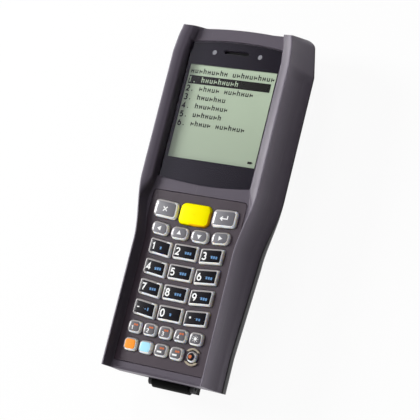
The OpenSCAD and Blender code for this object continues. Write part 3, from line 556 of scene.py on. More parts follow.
# %% Stacks of sections
def lean(y, at_tip, at_foot):
    """Shear of a section at y, eased in towards each end: at_tip over the scanning end, at_foot over
    the bottom end."""
    return at_tip * smooth((y - 34) / (HEAD_END - 34)) + at_foot * smooth((-110 - y) / (FOOT_END - 110))


def mirrored(half):
    """Right halves of sections (rows, points, 2) joined with their mirror images."""
    return np.concatenate([half, (half * [-1, 1])[:, ::-1]], axis=1)


def rings_at(y, half, at_tip, at_foot):
    """Closed sections at the stations y: y grows by the lean times the height over the parting
    plane."""
    whole = mirrored(half)
    rings = np.empty((*whole.shape[:2], 3))
    rings[..., 0], rings[..., 2] = whole[..., 0], whole[..., 1]
    rings[..., 1] = y[:, None] + lean(y, at_tip, at_foot)[:, None] * (whole[..., 1] + FRONT_DEPTH)
    return rings


def hollow_rings(y, half):
    """Plain upright sections for the hollow of a shell."""
    return rings_at(y, half, 0, 0)


stations = np.unique(np.concatenate([
    np.linspace(-FOOT_END, -66, 26), np.linspace(-66, -30, 37), np.linspace(-30, 20, 18),
    np.linspace(20, 34, 22), np.linspace(34, HEAD_END, 22)]))
print("sections", len(stations))

# %% [markdown]
# ## Sections of the two shells
# The front shell's wall rises from the parting plane with a scooped curve to a narrow crest, and a
# strip falls from the crest to the face. The back shell has a short straight wall, a slope and a flat
# back. Each is written as the corners of its right half, and `fillets` rounds them.

# %% Sections of the two shells
BACK_Z = -FRONT_DEPTH - BACK_DEPTH


def front_rings(y):
    """Front shell's sections: wall up from the parting plane, rounded crest, sloped strip, face. The
    wall leaves the crest with the fall u squared, or to the fifth power where it is scooped, and
    the scoop takes a half sine off it."""
    u = np.linspace(0.97, 0.06, 22)[None, :]
    Y = y[:, None]
    wall_x = crest_x(Y) + (part_x(Y) - crest_x(Y)) * mix(u ** 2, u ** 5, scoop(Y))
    wall_x = wall_x - SCOOP_DEPTH * scoop(Y) * np.sin(np.pi * np.clip(u / 0.8, 0, 1))
    wall = pairs(wall_x, RAIL_HEIGHT - u * (RAIL_HEIGHT + FRONT_DEPTH))
    foot = np.stack([pairs(part_x(y) - 0.3, -FRONT_DEPTH),
                     pairs(part_x(y) - 0.02, -FRONT_DEPTH + 0.35)], 1)
    inner_x = mix(base_x(y) + 0.8, crest_x(y) - 0.9, slim(y))
    inner_z = mix(STRIP_HEIGHT, RAIL_HEIGHT - 0.5, slim(y))
    top = np.stack([wall[:, -1], pairs(crest_x(y), RAIL_HEIGHT), pairs(crest_x(y) - 0.85, RAIL_HEIGHT),
                    pairs(inner_x, inner_z), pairs(base_x(y) + 0.1, 0), pairs(base_x(y) - 1.2, 0)], 1)
    top = fillets(top, [0, 0.75, 0.6, 0.9, 0.5, 0])
    return rings_at(y, np.concatenate([foot, wall[:, :-1], top], axis=1), -TIP_LEAN / FRONT_DEPTH, 0.01)


def back_rings(y):
    """Back shell's sections: a short straight wall, a slope and a rounded edge to the flat back."""
    top = part_x(y) + GRIP_BULGE * waist(y)
    straight = mix(STRAIGHT_HEAD, STRAIGHT_GRIP, waist(y))
    side = top - BACK_SLOPE * (BACK_DEPTH - straight)
    half = np.stack([pairs(0 * y, BACK_Z), pairs(side, BACK_Z), pairs(top, -FRONT_DEPTH - straight),
                     pairs(top - 0.02, -FRONT_DEPTH - 0.35), pairs(top - 0.3, -FRONT_DEPTH)], 1)
    half = fillets(half, [0, 2.2, 2.5, 0, 0], 7)[:, 1:]
    return rings_at(y, half, 4.0 / BACK_DEPTH, -0.6 / BACK_DEPTH)


print("front rings", front_rings(stations).shape, "back rings", back_rings(stations).shape)

# %% [markdown]
# ## Outlines of the openings
# The keypad bezel and the display window lie in recesses with a thin gap around them, and a moulded
# edge is never sharp. Each cutter therefore follows its piece's outline, grown by the gap, and
# flares by a fraction of a millimetre at the face.

# %% Outlines of the openings
def bezel_edge(y):
    """Half of the bezel's width: straight at the top, along the feet of the rails below."""
    return np.minimum(BEZEL_HALF, base_x(y) - 0.35)


def bezel_outline(grow):
    """Bezel's outline: straight top with small corners, sides along the feet of the rails."""
    y = np.linspace(-BEZEL_LOW, -48, 30)
    right = pairs(bezel_edge(y) + grow, y)
    right[0, 1] -= grow
    a = np.radians(np.linspace(0, 90, 7))
    corner = pairs(BEZEL_HALF - 1.5 + (1.5 + grow) * np.cos(a),
                   -BEZEL_TOP - 1.5 + (1.5 + grow) * np.sin(a))
    right = np.vstack([right, corner])
    return np.vstack([right, (right * [-1, 1])[::-1]])


def lens_outline(grow, half=LENS_HALF):
    """Lens outline: straight sides between two shallow arcs. An arc's rise is the root of its radius
    squared less x squared, less the radius."""
    x = np.linspace(half + grow, -half - grow, 41)
    rise = np.sqrt((LENS_R + grow) ** 2 - x ** 2) - LENS_R
    return np.vstack([pairs(x, LENS_TOP + rise), pairs(-x, -LENS_LOW - rise)])


def flared(name, outline, z_low, groove=0.26, flare=0.12, top=6.0):
    """Cutter that widens by flare at the face: outline is a function of how far it is grown."""
    return solid(name, [level(outline(groove), z_low), level(outline(groove), -flare),
                        level(outline(groove + flare), 0.0), level(outline(groove + flare), top)])


print("bezel outline", len(bezel_outline(0)), "points, lens outline", len(lens_outline(0)), "points")

# %% [markdown]
# ## Front shell
# The real shell is one moulding of 2 mm walls. A Solidify modifier would also thicken the rails, so
# the full loft is hollowed with a second, plainer loft, as a mould's core does. The face is set back
# at the scanning end behind a shallow arc, and the bottom edge is chamfered between the rails.

# %% Front shell
HOLLOW_FOOT = -123.0
CORE_CLEAR = 0.8
front = solid("front_shell", front_rings(stations), [M["housing_front"]])
core_y = np.array([HOLLOW_FOOT, -110, -66, -58, -50, -42, -34, TIP_START, FACE_TOP - WALL - 0.2])
core_side = crest_x(core_y) - SCOOP_DEPTH - WALL
core = np.stack([pairs(part_x(core_y) - WALL - CORE_CLEAR, -FRONT_DEPTH - 1),
                 pairs(core_side, -FRONT_DEPTH * 0.55), pairs(core_side, -FACE_PLATE)], 1)
ARC_HALF = 23.0
arc_x = np.linspace(-ARC_HALF, ARC_HALF, 41)
arc_y = FACE_TOP - FACE_TOP_R + np.sqrt(FACE_TOP_R ** 2 - arc_x ** 2)
beyond = np.vstack([pairs(arc_x, arc_y), [[ARC_HALF, 60.0], [-ARC_HALF, 60.0]]])
lip = np.array([[CHAMFER - FOOT_END + 0.3, 0.3], [-FOOT_END - 3, 0.3], [-FOOT_END - 3, -CHAMFER - 3]])
half_lip = base_x(-FOOT_END) - 0.6
carve(front, solid("hollow", hollow_rings(core_y, core)), prism("beyond", beyond, -TIP_NOTCH, 12),
      solid("lip", across(lip, -half_lip, half_lip)))
print("front shell faces before its openings", len(front.data.polygons))

# %% [markdown]
# ## Openings of the face
# The face carries the display window and the keypad bezel in shallow recesses. Behind the window it
# is open for the display panel, the speaker slot and the two status lights, and behind the bezel for
# the keys. Boolean cuts follow the CAD solids exactly, which a modelled rim would only come near.

# %% Openings of the face
FACE_CUT = (-3.2, -1)
PANEL_HALF_W, PANEL_HALF_H, PANEL_Y = 23.9, 25.45, -1.25
SLOT_HALF_W, SLOT_HALF_H, SLOT_Y = 6.5, 0.9, 30.4
LIGHT_R, LIGHT_X, LIGHT_Y = 1.35, 12.2, 30.0
WINDOW_HALF_W, WINDOW_HALF_H = 22.4, 38.1
middle_of_keys = (0, -(BEZEL_TOP + BEZEL_LOW) / 2)
carve(
    front,
    flared("lens_cut", lambda grow: lens_outline(grow, LENS_HALF + 0.2 - grow), -LENS_T - 0.2),
    flared("bezel_cut", bezel_outline, -BEZEL_T),
    prism("panel_cut", round_rect(PANEL_HALF_W, PANEL_HALF_H, 0.6, centre=(0, PANEL_Y)), *FACE_CUT),
    prism("slot_cut", round_rect(SLOT_HALF_W, SLOT_HALF_H, 0.89, centre=(0, SLOT_Y)), *FACE_CUT),
    *[prism("light_cut", disc(LIGHT_R, (x, LIGHT_Y)), *FACE_CUT) for x in (-LIGHT_X, LIGHT_X)],
    prism("key_window", round_rect(WINDOW_HALF_W, WINDOW_HALF_H, 1.5, centre=middle_of_keys), *FACE_CUT),
)
print("front shell faces", len(front.data.polygons))

# %% [markdown]
# ## Scan window's opening
# The scanner looks out of the end wall, which leans, so its opening is drawn flat and turned onto
# the wall. The shell is then complete. Plain smooth shading would bend the light where its large faces
# meet the small ones of the cuts, so a Weighted Normal modifier keeps the large faces even.

# %% Scan window's opening
SCAN_HALF_W, SCAN_HALF_H, SCAN_CORNER = 14.15, 2.85, 0.7
SCAN_BELOW_NOTCH = 4.5
scan_z = -TIP_NOTCH - SCAN_BELOW_NOTCH
scan_y = HEAD_END - TIP_LEAN * (scan_z + FRONT_DEPTH) / FRONT_DEPTH
lean_back = math.atan(TIP_LEAN / FRONT_DEPTH)


def on_tip(points):
    """Points of the leaning scanning end: local z is out of it, local y is up it."""
    turn = np.array(Matrix.Rotation(lean_back - math.pi / 2, 3, "X"))
    return points @ turn.T + [0, scan_y, scan_z]


def even_shading(shell):
    """Smooth shading whose normals lean towards those of the larger faces."""
    shade(shell, 32)
    weighted = shell.modifiers.new("even_normals", "WEIGHTED_NORMAL")
    weighted.keep_sharp = True


carve(front, solid("window_cut", [
    on_tip(level(round_rect(SCAN_HALF_W + wider, SCAN_HALF_H + wider, SCAN_CORNER), z))
    for wider, z in ((0, -1.5), (0, -0.3), (0.3, 0.0), (0.3, 3.0))]))
even_shading(front)
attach(front, "terminal")
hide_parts("front_housing")
print("front shell faces", len(front.data.polygons))

# %% [markdown]
# ## Back shell and its hollow
# The back is a tray that closes the casing. It is hollowed by a pocket of its own, and the pocket
# first loses what has to stay: the bosses of the six housing screws and the walls of the battery
# bay.

# %% Back shell and its hollow
SCREWS = [(21, 36), (-21, 36), (23.6, -40), (-23.6, -40), (17, -122), (-17, -122)]
BOSS_R, BOSS_LOW = 3.0, 1.6
BAY_HALF, BAY_FOOT, BAY_HEAD, BAY_TOP = 16.9, -111, -47.7, -19.3
POCKET_INSET = 4.9
back = solid("back_shell", back_rings(stations), [M["housing_back"]])
pocket_y = np.array([HOLLOW_FOOT - 0.4, -110, -66, -58, -50, -42, -34, TIP_START, HEAD_END - 5.4])
pocket_straight = mix(STRAIGHT_HEAD, STRAIGHT_GRIP, waist(pocket_y))
pocket_top = part_x(pocket_y) + GRIP_BULGE * waist(pocket_y) - POCKET_INSET
pocket_low = pocket_top - BACK_SLOPE * (BACK_DEPTH - WALL - pocket_straight)
pocket_half = np.stack([pairs(pocket_low, BACK_Z + WALL), pairs(pocket_top, -FRONT_DEPTH + 1)], 1)
pocket = solid("pocket", hollow_rings(pocket_y, pocket_half))
carve(pocket, *[prism("boss", disc(BOSS_R, spot), BACK_Z + BOSS_LOW, -FRONT_DEPTH) for spot in SCREWS],
      box("bay_walls", (-BAY_HALF - WALL, BAY_FOOT - WALL, BACK_Z + 1),
          (BAY_HALF + WALL, BAY_HEAD + WALL, BAY_TOP + WALL)))
print("pocket faces", len(pocket.data.polygons))

# %% [markdown]
# ## Openings of the back
# From behind one sees the recess of the battery cover, six counterbored screw holes, the hole of the
# cover's lock and, at the bottom end, the notch and the room for the port cover's barrel.

# %% Openings of the back
COVER_HALF, COVER_LONG, COVER_Y, COVER_CORNER = 18.9, 37.15, -82.35, 3.0
HEAD_R, SHANK_R, LOCK_R, LOCK_Y = 1.9, 1.15, 1.8, -115.6
NOTCH_HALF, NOTCH_Y, ROOM_R = 20, -125.6, 3.5
DOCK_HALF, DOCK_Y, DOCK_LOW, DOCK_HIGH = 8.65, -118.5, -27.45, -21.55
room_half = FLAP_HALF + FLAP_GAP
cutters = [
    pocket,
    box("notch", (-NOTCH_HALF, -FOOT_END - 6, BACK_Z - 1), (NOTCH_HALF, NOTCH_Y, -FRONT_DEPTH + 1)),
    solid("barrel_room", across(disc(ROOM_R, (HINGE_Y, HINGE_Z)), -room_half, room_half)),
    box("dock_cut", (-DOCK_HALF, -FOOT_END - 1, DOCK_LOW), (DOCK_HALF, DOCK_Y, DOCK_HIGH)),
    solid("cover_cut", [
        level(round_rect(COVER_HALF + wider, COVER_LONG + wider, COVER_CORNER + wider,
                         centre=(0, COVER_Y)), BACK_Z + up)
        for wider, up in ((0.35, -1), (0.35, 0), (0, 0.35), (0, 1.8))]),
    box("bay_cut", (-BAY_HALF, BAY_FOOT, BACK_Z - 1), (BAY_HALF, BAY_HEAD, BAY_TOP)),
    prism("lock_cut", disc(LOCK_R, (0, LOCK_Y)), BACK_Z - 1, BACK_Z + 9.4),
]
for spot in SCREWS:
    cutters.append(solid("head_cut", [
        level(disc(HEAD_R + wider, spot), BACK_Z + up)
        for wider, up in ((0.25, -1), (0.25, 0), (0, 0.25), (0, 2.8))]))
    cutters.append(prism("shank_cut", disc(SHANK_R, spot), BACK_Z + 2, -FRONT_DEPTH + 1))
carve(back, *cutters)
even_shading(back)
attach(back, "terminal")
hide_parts("back_housing")
print("back shell faces", len(back.data.polygons))

# %% [markdown]
# ## Hinge ears
# Two ears on the back shell hold the port cover's pin. They are half round towards the bottom end
# and flat where they grow out of the shell. A cylinder and a box could be joined, but one profile run
# across each ear's width needs no join, and a small Bevel softens its edges.

# %% Hinge ears
EAR_R, EAR_ROOT, EAR_T = 2.2, -125.0, 2.2
half_turn = np.radians(np.linspace(90, 270, 17))
ear_profile = np.vstack([
    pairs(HINGE_Y + EAR_R * np.cos(half_turn), HINGE_Z + EAR_R * np.sin(half_turn)),
    [[EAR_ROOT, HINGE_Z - EAR_R], [EAR_ROOT, HINGE_Z + EAR_R]]])
for side, name in ((-1, "hinge_ear_left"), (1, "hinge_ear_right")):
    near, far = sorted((side * room_half, side * (room_half + EAR_T)))
    ear = solid(name, across(ear_profile, near, far), [M["housing_back"]])
    soft = ear.modifiers.new("soft_edges", "BEVEL")
    soft.width, soft.segments = 0.00025, 3
    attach(ear, "terminal")
print("ears at x", near, far)

# %% [markdown]
# ## Signs as strokes
# Key legends are printed in a plain round-ended hand. A font would bring a file and far more faces,
# so each numeral and sign is a few strokes in a cell one unit wide and 1.6 units tall, and arcs are
# sampled from ellipses.

# %% Signs as strokes
def bow(cx, cy, rx, ry, start, end, n=14):
    """Points on an ellipse's arc between two angles in degrees."""
    a = np.radians(np.linspace(start, end, n))
    return pairs(cx + rx * np.cos(a), cy + ry * np.sin(a))


def path(*points):
    """Corners of a straight-lined stroke."""
    return np.array(points, float)


SIX = [bow(0.5, 0.5, 0.42, 0.45, 0, 360, 26), np.vstack([bow(0.78, 0.5, 0.70, 1.02, 178, 108, 12)])]
SIGNS = {
    "0": [bow(0.5, 0.8, 0.42, 0.75, 0, 360, 30)],
    "1": [path((0.18, 1.2), (0.52, 1.5), (0.52, 0.05))],
    "2": [np.vstack([bow(0.5, 1.1, 0.38, 0.43, 165, -28), path((0.1, 0.1), (0.92, 0.1))])],
    "3": [bow(0.46, 1.16, 0.36, 0.37, 150, -95), bow(0.46, 0.44, 0.42, 0.40, 95, -150)],
    "4": [path((0.70, 0.05), (0.70, 1.5), (0.06, 0.48), (0.98, 0.48))],
    "5": [np.vstack([path((0.86, 1.48), (0.22, 1.48), (0.15, 0.86)),
                     bow(0.46, 0.5, 0.42, 0.45, 128, -150)])],
    "6": SIX,
    "7": [path((0.08, 1.48), (0.92, 1.48), (0.36, 0.05))],
    "8": [bow(0.5, 1.17, 0.33, 0.36, 0, 360, 24), bow(0.5, 0.43, 0.41, 0.40, 0, 360, 24)],
    "9": [np.array([1.0, 1.6]) - s for s in SIX],
    "minus": [path((0.1, 0.8), (0.9, 0.8))],
    "cross": [path((0.1, 0.3), (0.9, 1.1)), path((0.1, 1.1), (0.9, 0.3))],
    "return": [path((1.3, 1.2), (1.3, 0.6), (0.0, 0.6)), path((0.4, 0.95), (0.0, 0.6), (0.4, 0.25))],
}
print("signs", len(SIGNS))

# %% [markdown]
# ## From strokes to bands
# A print is a thin layer on a crowned top. A curve with a bevel would give round wires, and a flat
# mesh would sink into the crown. So each stroke becomes a flat band in x and y, and its height comes
# from the top it lies on.

# %% Bands along strokes
def ribbon(points, half):
    """Flat band of the given half width along a polyline: its points are pushed out on both sides
    along the mean of their neighbours' normals."""
    step = np.diff(points, axis=0)
    step /= np.linalg.norm(step, axis=1)[:, None]
    looped = np.allclose(points[0], points[-1])
    before = np.vstack([step[-1] if looped else step[0], step])
    after = np.vstack([step, step[0] if looped else step[-1]])
    mean = before + after
    mean /= np.linalg.norm(mean, axis=1)[:, None]
    normal = pairs(-mean[:, 1], mean[:, 0])
    reach = half / np.maximum(np.sum(mean * before, axis=1), 0.45)
    return np.stack([points + normal * reach[:, None], points - normal * reach[:, None]], 1)


def joined(parts):
    """One list of points and one of faces from several (points, faces) pairs."""
    starts = np.cumsum([0] + [len(points) for points, _ in parts[:-1]])
    return (np.vstack([points for points, _ in parts]),
            np.vstack([faces + start for (_, faces), start in zip(parts, starts)]))


def marks(placed, width, half, height_of):
    """Points and faces of a row of signs: each is (name, x, y) at its lower left corner."""
    parts = []
    for name, x, y in placed:
        for stroke in SIGNS[name]:
            band = ribbon(stroke * width + [x, y], half)
            flat = band.reshape(-1, 2)
            parts.append((level(flat, height_of(flat)), grid_quads(len(band), 2, False)[:, ::-1]))
    return joined(parts)


print("a nine has", len(marks([("9", 0, 0)], 2, 0.3, lambda flat: 0)[1]), "faces")

# %% [markdown]
# ## Filled marks
# Dots, arrows and small blocks are filled. A rectangle is a small grid, and any other outline is
# shrunk in steps to its centre, so that both can follow the crown of the key below them.

# %% Filled marks
def patches(rects, height_of, cuts=4):
    """Points and faces of small filled rectangles (centre x, centre y, half width, half height)."""
    r = np.asarray(rects, float)
    s = np.linspace(-1, 1, cuts)
    gx, gy = np.meshgrid(s, s, indexing="ij")
    x = r[:, 0, None] + r[:, 2, None] * gx.ravel()
    y = r[:, 1, None] + r[:, 3, None] * gy.ravel()
    flat = pairs(x.ravel(), y.ravel())
    quads = grid_quads(cuts, cuts, False)[:, ::-1]
    faces = (quads[None] + (np.arange(len(r)) * cuts * cuts)[:, None, None]).reshape(-1, 4)
    return level(flat, height_of(flat)), faces


def blob(outline, height_of, rings=4):
    """Points and faces of a filled outline: the outline shrunk in steps towards its centre."""
    scale = np.linspace(1, 0.02, rings)[:, None, None]
    centre = outline.mean(0)
    grid = (centre + (outline - centre) * scale).reshape(-1, 2)
    return level(grid, height_of(grid)), grid_quads(rings, len(outline), True)


print("a filled circle has", len(blob(disc(1), lambda flat: 0)[1]), "faces")

# %% [markdown]
# ## Where the keys are
# The keypad has three command keys, four arrow keys, a number block whose middle column is a little
# wider and lower, and two rows of small keys. All outlines are round rectangles that lean slightly
# towards the sides of the pad, so one record per key is enough.

# %% Where the keys are
Key = namedtuple("Key", "x y half_w half_h corner shear margin_x margin_y look")
COMMAND_X, COMMAND_Y = 15.65, -49.1
ARROW_PITCH, ARROW_Y, ARROW_DROP = 10.75, -58.6, 0.75
NUMBER_X_PITCH, NUMBER_Y_PITCH, NUMBER_Y, NUMBER_DROP = 13.63, 9.83, -67.5, 0.26
SMALL_X_PITCH, SMALL_Y_PITCH, SMALL_Y = 8.16, 8.33, -106.1
NUMBERS = [["1", "2", "3"], ["4", "5", "6"], ["7", "8", "9"], ["minus", "0", "dot"]]
SMALL = [["f1", "f2", "f3", "f4", "light"], ["orange", "blue", "space", "back", "power"]]
KEYS = {
    "esc": Key(-COMMAND_X, COMMAND_Y, 6.45, 4.3, 2.2, -0.06, 1.15, 1.05, "print_grey"),
    "scan": Key(0, COMMAND_Y - 0.58, 8.2, 5.2, 2.6, 0, 1.2, 1.1, "yellow"),
    "enter": Key(COMMAND_X, COMMAND_Y, 6.45, 4.3, 2.2, 0.06, 1.15, 1.05, "print_grey"),
}
for i, name in enumerate(["left", "up", "down", "right"]):
    KEYS[name] = Key((i - 1.5) * ARROW_PITCH, ARROW_Y - (ARROW_DROP if i in (1, 2) else 0),
                     4.65, 3.05, 2.5, (-0.1, 0, 0, 0.1)[i], 0.9, 0.75, "print_grey")
for r, row in enumerate(NUMBERS):
    for c, name in enumerate(row):
        KEYS[name] = Key((c - 1) * NUMBER_X_PITCH,
                         NUMBER_Y - r * NUMBER_Y_PITCH - (NUMBER_DROP if c == 1 else 0),
                         6.6 if c == 1 else 6.05, 3.75, 1.1, (c - 1) * 0.1, 0.95, 0.95, "print_black")
for r, row in enumerate(SMALL):
    for c, name in enumerate(row):
        KEYS[name] = Key((c - 2) * SMALL_X_PITCH, SMALL_Y - r * SMALL_Y_PITCH,
                         3.55, 3.05, 2.0, 0, 0.85, 0.8, "print_dark")
KEYS["power"] = Key(2 * SMALL_X_PITCH, SMALL_Y - SMALL_Y_PITCH, 2.6, 2.6, 2.59, 0, 0.75, 0.75,
                    "print_black")
KEYS["orange"] = KEYS["orange"]._replace(look="orange")
KEYS["blue"] = KEYS["blue"]._replace(look="blue")
print("keys", len(KEYS))

# %% [markdown]
# ## Shape of a key cap
# A real cap is moulded rubber with a round edge and a crowned, printed top. It could be a box with
# Bevel and Subdivision, but then the border of the print would wander. Here a cap is one grid:
# columns run round the outline, and rows run from the skirt up the wall, over the soft edge and
# across the clear rim to the middle of the print.

# %% Rows of a key cap
SKIRT_ROWS = [-KEY_FLOOR, -0.1]
WALL_ROWS = [(0.0, 1.05), (0.10, 0.72), (0.22, 0.46), (0.38, 0.25), (0.56, 0.10), (0.72, 0.03)]
RIM_ROWS = [0.0, 0.3, 0.6, 1.0]
PRINT_ROWS = [0.985, 0.8, 0.55, 0.3, 0.02]
RIM_START, PRINT_RISE = 0.80, 0.03


def crown(points, key):
    """Height of a key's crowned top: the rise less the squared distance over the diameter."""
    return KEY_RISE - ((points - [key.x, key.y]) ** 2).sum(-1) / (2 * CROWN_R)


def key_outline(key, inset_x, inset_y):
    """Round rectangle of a key, drawn in by the insets and sheared."""
    radius = max(key.corner - min(inset_x, inset_y), 0.45)
    flat = round_rect(key.half_w - inset_x, key.half_h - inset_y, radius, 7, 5, (key.x, key.y))
    flat[:, 1] += key.shear * (flat[:, 0] - key.x)
    return flat


def cap_rows(key):
    """Rows of a cap's grid, from the skirt over wall and rim to the middle of the print."""
    rows = [level(key_outline(key, 0, 0), z) for z in SKIRT_ROWS]
    for inset, drop in WALL_ROWS:
        flat = key_outline(key, inset, inset)
        rows.append(level(flat, crown(flat, key) - drop))
    for share in RIM_ROWS:
        inset_y = mix(RIM_START, key.margin_y, share) if key.margin_y > RIM_START else key.margin_y
        flat = key_outline(key, mix(RIM_START, key.margin_x, share), inset_y)
        rows.append(level(flat, crown(flat, key)))
    edge = key_outline(key, key.margin_x, key.margin_y)
    for scale in PRINT_ROWS:
        flat = (edge - [key.x, key.y]) * scale + [key.x, key.y]
        rows.append(level(flat, crown(flat, key) + PRINT_RISE))
    return np.array(rows)


print("rows of a cap", len(cap_rows(KEYS["5"])))

# %% [markdown]
# ## Looks of a key cap
# The row decides the material: what lies inside the rim is printed. The yellow key has no print,
# and its lower right walls get a painted orange shade instead. On the other caps the rim's upper
# left gets painted shade, a darker copy of the rim. The face's place on the cap decides both.

# %% Looks of a key cap
def cap(name, key):
    """Points, faces and material number per face of one cap: 0 rim, 1 print, 2 painted rim shade."""
    rows = cap_rows(key)
    around = rows.shape[1]
    points = rows.reshape(-1, 3)
    faces = grid_quads(len(rows), around, True)
    row_of = np.arange(len(faces)) // around
    rim_first = len(SKIRT_ROWS) + len(WALL_ROWS)
    index = np.where(row_of >= rim_first + len(RIM_ROWS) - 1, 1, 0)
    # The face's place towards the lower right sets the painted shades: the yellow key's lower right
    # walls, other rims' upper left.
    out = points[faces].mean(1)[:, :2] - [key.x, key.y]
    low_right = 0.75 * out[:, 0] / key.half_w - 0.65 * out[:, 1] / key.half_h
    if name == "scan":
        index[(low_right < 0.45) | (row_of >= rim_first)] = 1
    else:
        index[(low_right < 0.0) & (index == 0)] = 2
    return points, faces.tolist() + [list(range(around))[::-1]], index.tolist() + [0]


print("faces of a cap", len(cap("5", KEYS["5"])[1]))

# %% [markdown]
# ## Legends
# Numerals and signs are white, the second signs beside the numerals are blue, and those above the
# small keys' signs are orange. The second signs are small plain blocks. Each mark lies two steps of
# the print's rise above the crown, so that it never sinks into the cap.

# %% Legends
def key_marks(name, key):
    """List of (points, faces, ink) printed on one key."""
    x, y = key.x, key.y
    top = lambda points: crown(points, key) + 2 * PRINT_RISE
    if name in SIGNS and len(name) == 1:
        blocks = [(x + 0.75 + 1.2 * i, y - 0.35, 0.44, 0.62) for i in range(1 if name in "10" else 3)]
        corner = (name, x - key.half_w + 1.85, y - 1.75 - key.shear * 3)
        return [(*marks([corner], 2.15, 0.33, top), "ink_white"), (*patches(blocks, top), "ink_blue")]
    if name == "minus":
        blocks = [(x + 0.7, y - 0.2, 0.3, 0.3), (x + 2.1, y - 0.2, 0.32, 0.75)]
        return [(*marks([("minus", x - key.half_w + 1.9, y - 1.1)], 1.7, 0.24, top), "ink_white"),
                (*patches(blocks, top), "ink_blue")]
    if name == "dot":
        blocks = [(x + 1.0, y - 0.3, 0.4, 0.5), (x + 2.3, y - 0.3, 0.4, 0.5)]
        return [(*blob(disc(0.52, (x - 2.6, y)), top), "ink_white"), (*patches(blocks, top), "ink_blue")]
    if name in ("left", "right", "up", "down"):
        angle = {"right": 0, "up": 90, "left": 180, "down": 270}[name]
        corners = disc(1.35, n=3) @ np.array(Matrix.Rotation(math.radians(-angle), 2))
        return [(*blob(corners + [x, y], top, 3), "ink_white")]
    if name == "esc":
        return [(*marks([("cross", x - 1.3, y - 1.85)], 2.6, 0.28, top), "ink_white")]
    if name == "enter":
        return [(*marks([("return", x - 1.7, y - 1.8)], 2.7, 0.28, top), "ink_white")]
    if name == "light":
        turn = np.radians(np.arange(0, 360, 45))
        spokes = [(x + 1.35 * math.cos(a), y + 1.35 * math.sin(a), 0.17, 0.17) for a in turn]
        return [(*blob(disc(0.8, (x, y)), top), "ink_white"), (*patches(spokes, top), "ink_white")]
    if name == "power":
        return [(*blob(disc(0.85, (x - 0.5, y)), top), "ink_orange")]
    if name in ("f1", "f2", "f3", "f4", "space", "back"):
        above = [(x + 0.15, y + 0.95, 0.5, 0.42), (x + 1.35, y + 0.95, 0.5, 0.42)]
        if name[0] == "f":
            sign = marks([(name[1], x - 1.35, y - 1.55)], 1.15, 0.21, top)
        else:
            sign = patches([(x - 0.35, y - 0.75, 1.25, 0.42)], top)
        return [(*patches(above, top), "ink_orange"), (*sign, "ink_white")]
    return []


print("marks on the backlight key", len(key_marks("light", KEYS["light"])))

# %% [markdown]
# ## Making the keys
# Cap and legends are one object per key, because they move together when the key is pressed. Each
# rides its own key's body and stands for the key's CAD node.

# %% Making the keys
for short, spec in KEYS.items():
    name = "key_" + short
    points, faces, index = cap(short, spec)
    # Slot 0 is the rim, or the yellow key's painted shade; slot 2 is the rim's painted shade.
    used = ["yellow_painted_shade" if short == "scan" else "rim", spec.look, "rim_painted_shade"]
    for more, quads, ink in key_marks(short, spec):
        if ink not in used:
            used.append(ink)
        faces += (quads + len(points)).tolist()
        index += [used.index(ink)] * len(quads)
        points = np.vstack([points, more])
    key = add_object(name + "_cap", points, faces, [M[look] for look in used], index, 50)
    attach(key, name + "_body")
    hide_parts(name)
print("keys made", len(KEYS), "faces of the last", len(faces))

# %% [markdown]
# ## Signs of the display
# A dot display writes in cells of 8 by 16 dots. The rows are made of plain signs of three strokes, so
# that the picture reads as text from a step away and says nothing. A font would say something, and a
# picture file would not stay sharp.

# %% Signs of the display
LINE, ROW_TOP, CELL = 4.32, 22.2, 8 * DOT
PICTURE_LEFT, PICTURE_Z = -22.65, -1.55
NUMERAL_X, POINT_X = PICTURE_LEFT + 0.1, PICTURE_LEFT + 1.45 * CELL


def words(row, lengths, first):
    """Groups of signs of the given lengths on a row, from cell first on, one apart. A sign is a left
    and a right upright and a bar between them, and which parts are long turns with its place."""
    rects, cell = [], first
    for count in lengths:
        for k in range(count):
            turn = (k * 7 + count * 3 + row * 5) % 4
            tall = 0.4 if turn == 0 else 0.0
            x = PICTURE_LEFT + (cell + k + 0.5) * CELL
            y = ROW_TOP - (row + 0.56) * LINE
            rects += [(x - 0.55, y + tall, 0.24, 0.9 + tall),
                      (x + 0.55, y, 0.24, 0.5 if turn == 1 else 0.9),
                      (x, y + (0.7, 0.0, -0.7, 0.1)[turn], 0.6, 0.22)]
        cell += count + 1
    return rects


print("rectangles in a group of five signs", len(words(0, (5,), 0)))

# %% [markdown]
# ## Picture of the display
# The cell shows a heading, a numbered row in reverse, five more numbered rows and a small sign in the
# lower right corner. The dark layer lies just above the cell, and the pale signs of the reversed row
# lie just above the dark layer.

# %% Picture of the display
dark = words(0, (9, 10), 0)
for row, lengths in ((2, (5, 7)), (3, (7,)), (4, (8,)), (5, (7,)), (6, (5, 7))):
    dark += words(row, lengths, 3)
    dark.append((POINT_X, ROW_TOP - (row + 0.78) * LINE, 0.26, 0.26))
dark += [(20.1, -20.9, 1.15, 0.55), (21.45, -20.9, 0.14, 0.25)]
numerals = [(str(row), NUMERAL_X, ROW_TOP - (row + 0.86) * LINE) for row in range(2, 7)]
dark_height = lambda points: PICTURE_Z
points, faces = joined([patches(dark, dark_height, 2), marks(numerals, 1.75, 0.32, dark_height),
                        patches([(-0.6, ROW_TOP - 1.52 * LINE, 21.9, 2.1)], dark_height, 2)])
picture = add_object("screen_picture", points, faces, [M["ink_lcd"]])
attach(picture, "terminal")
pale_height = lambda points: PICTURE_Z + 0.03
pale_signs = words(1, (9,), 3) + [(POINT_X, ROW_TOP - 1.78 * LINE, 0.26, 0.26)]
points, faces = joined([patches(pale_signs, pale_height, 2),
                        marks([("1", NUMERAL_X, ROW_TOP - 1.86 * LINE)], 1.75, 0.32, pale_height)])
reverse = add_object("screen_reverse", points, faces, [M["panel"]])
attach(reverse, "terminal")
print("picture faces", len(picture.data.polygons), "reverse row", len(reverse.data.polygons))

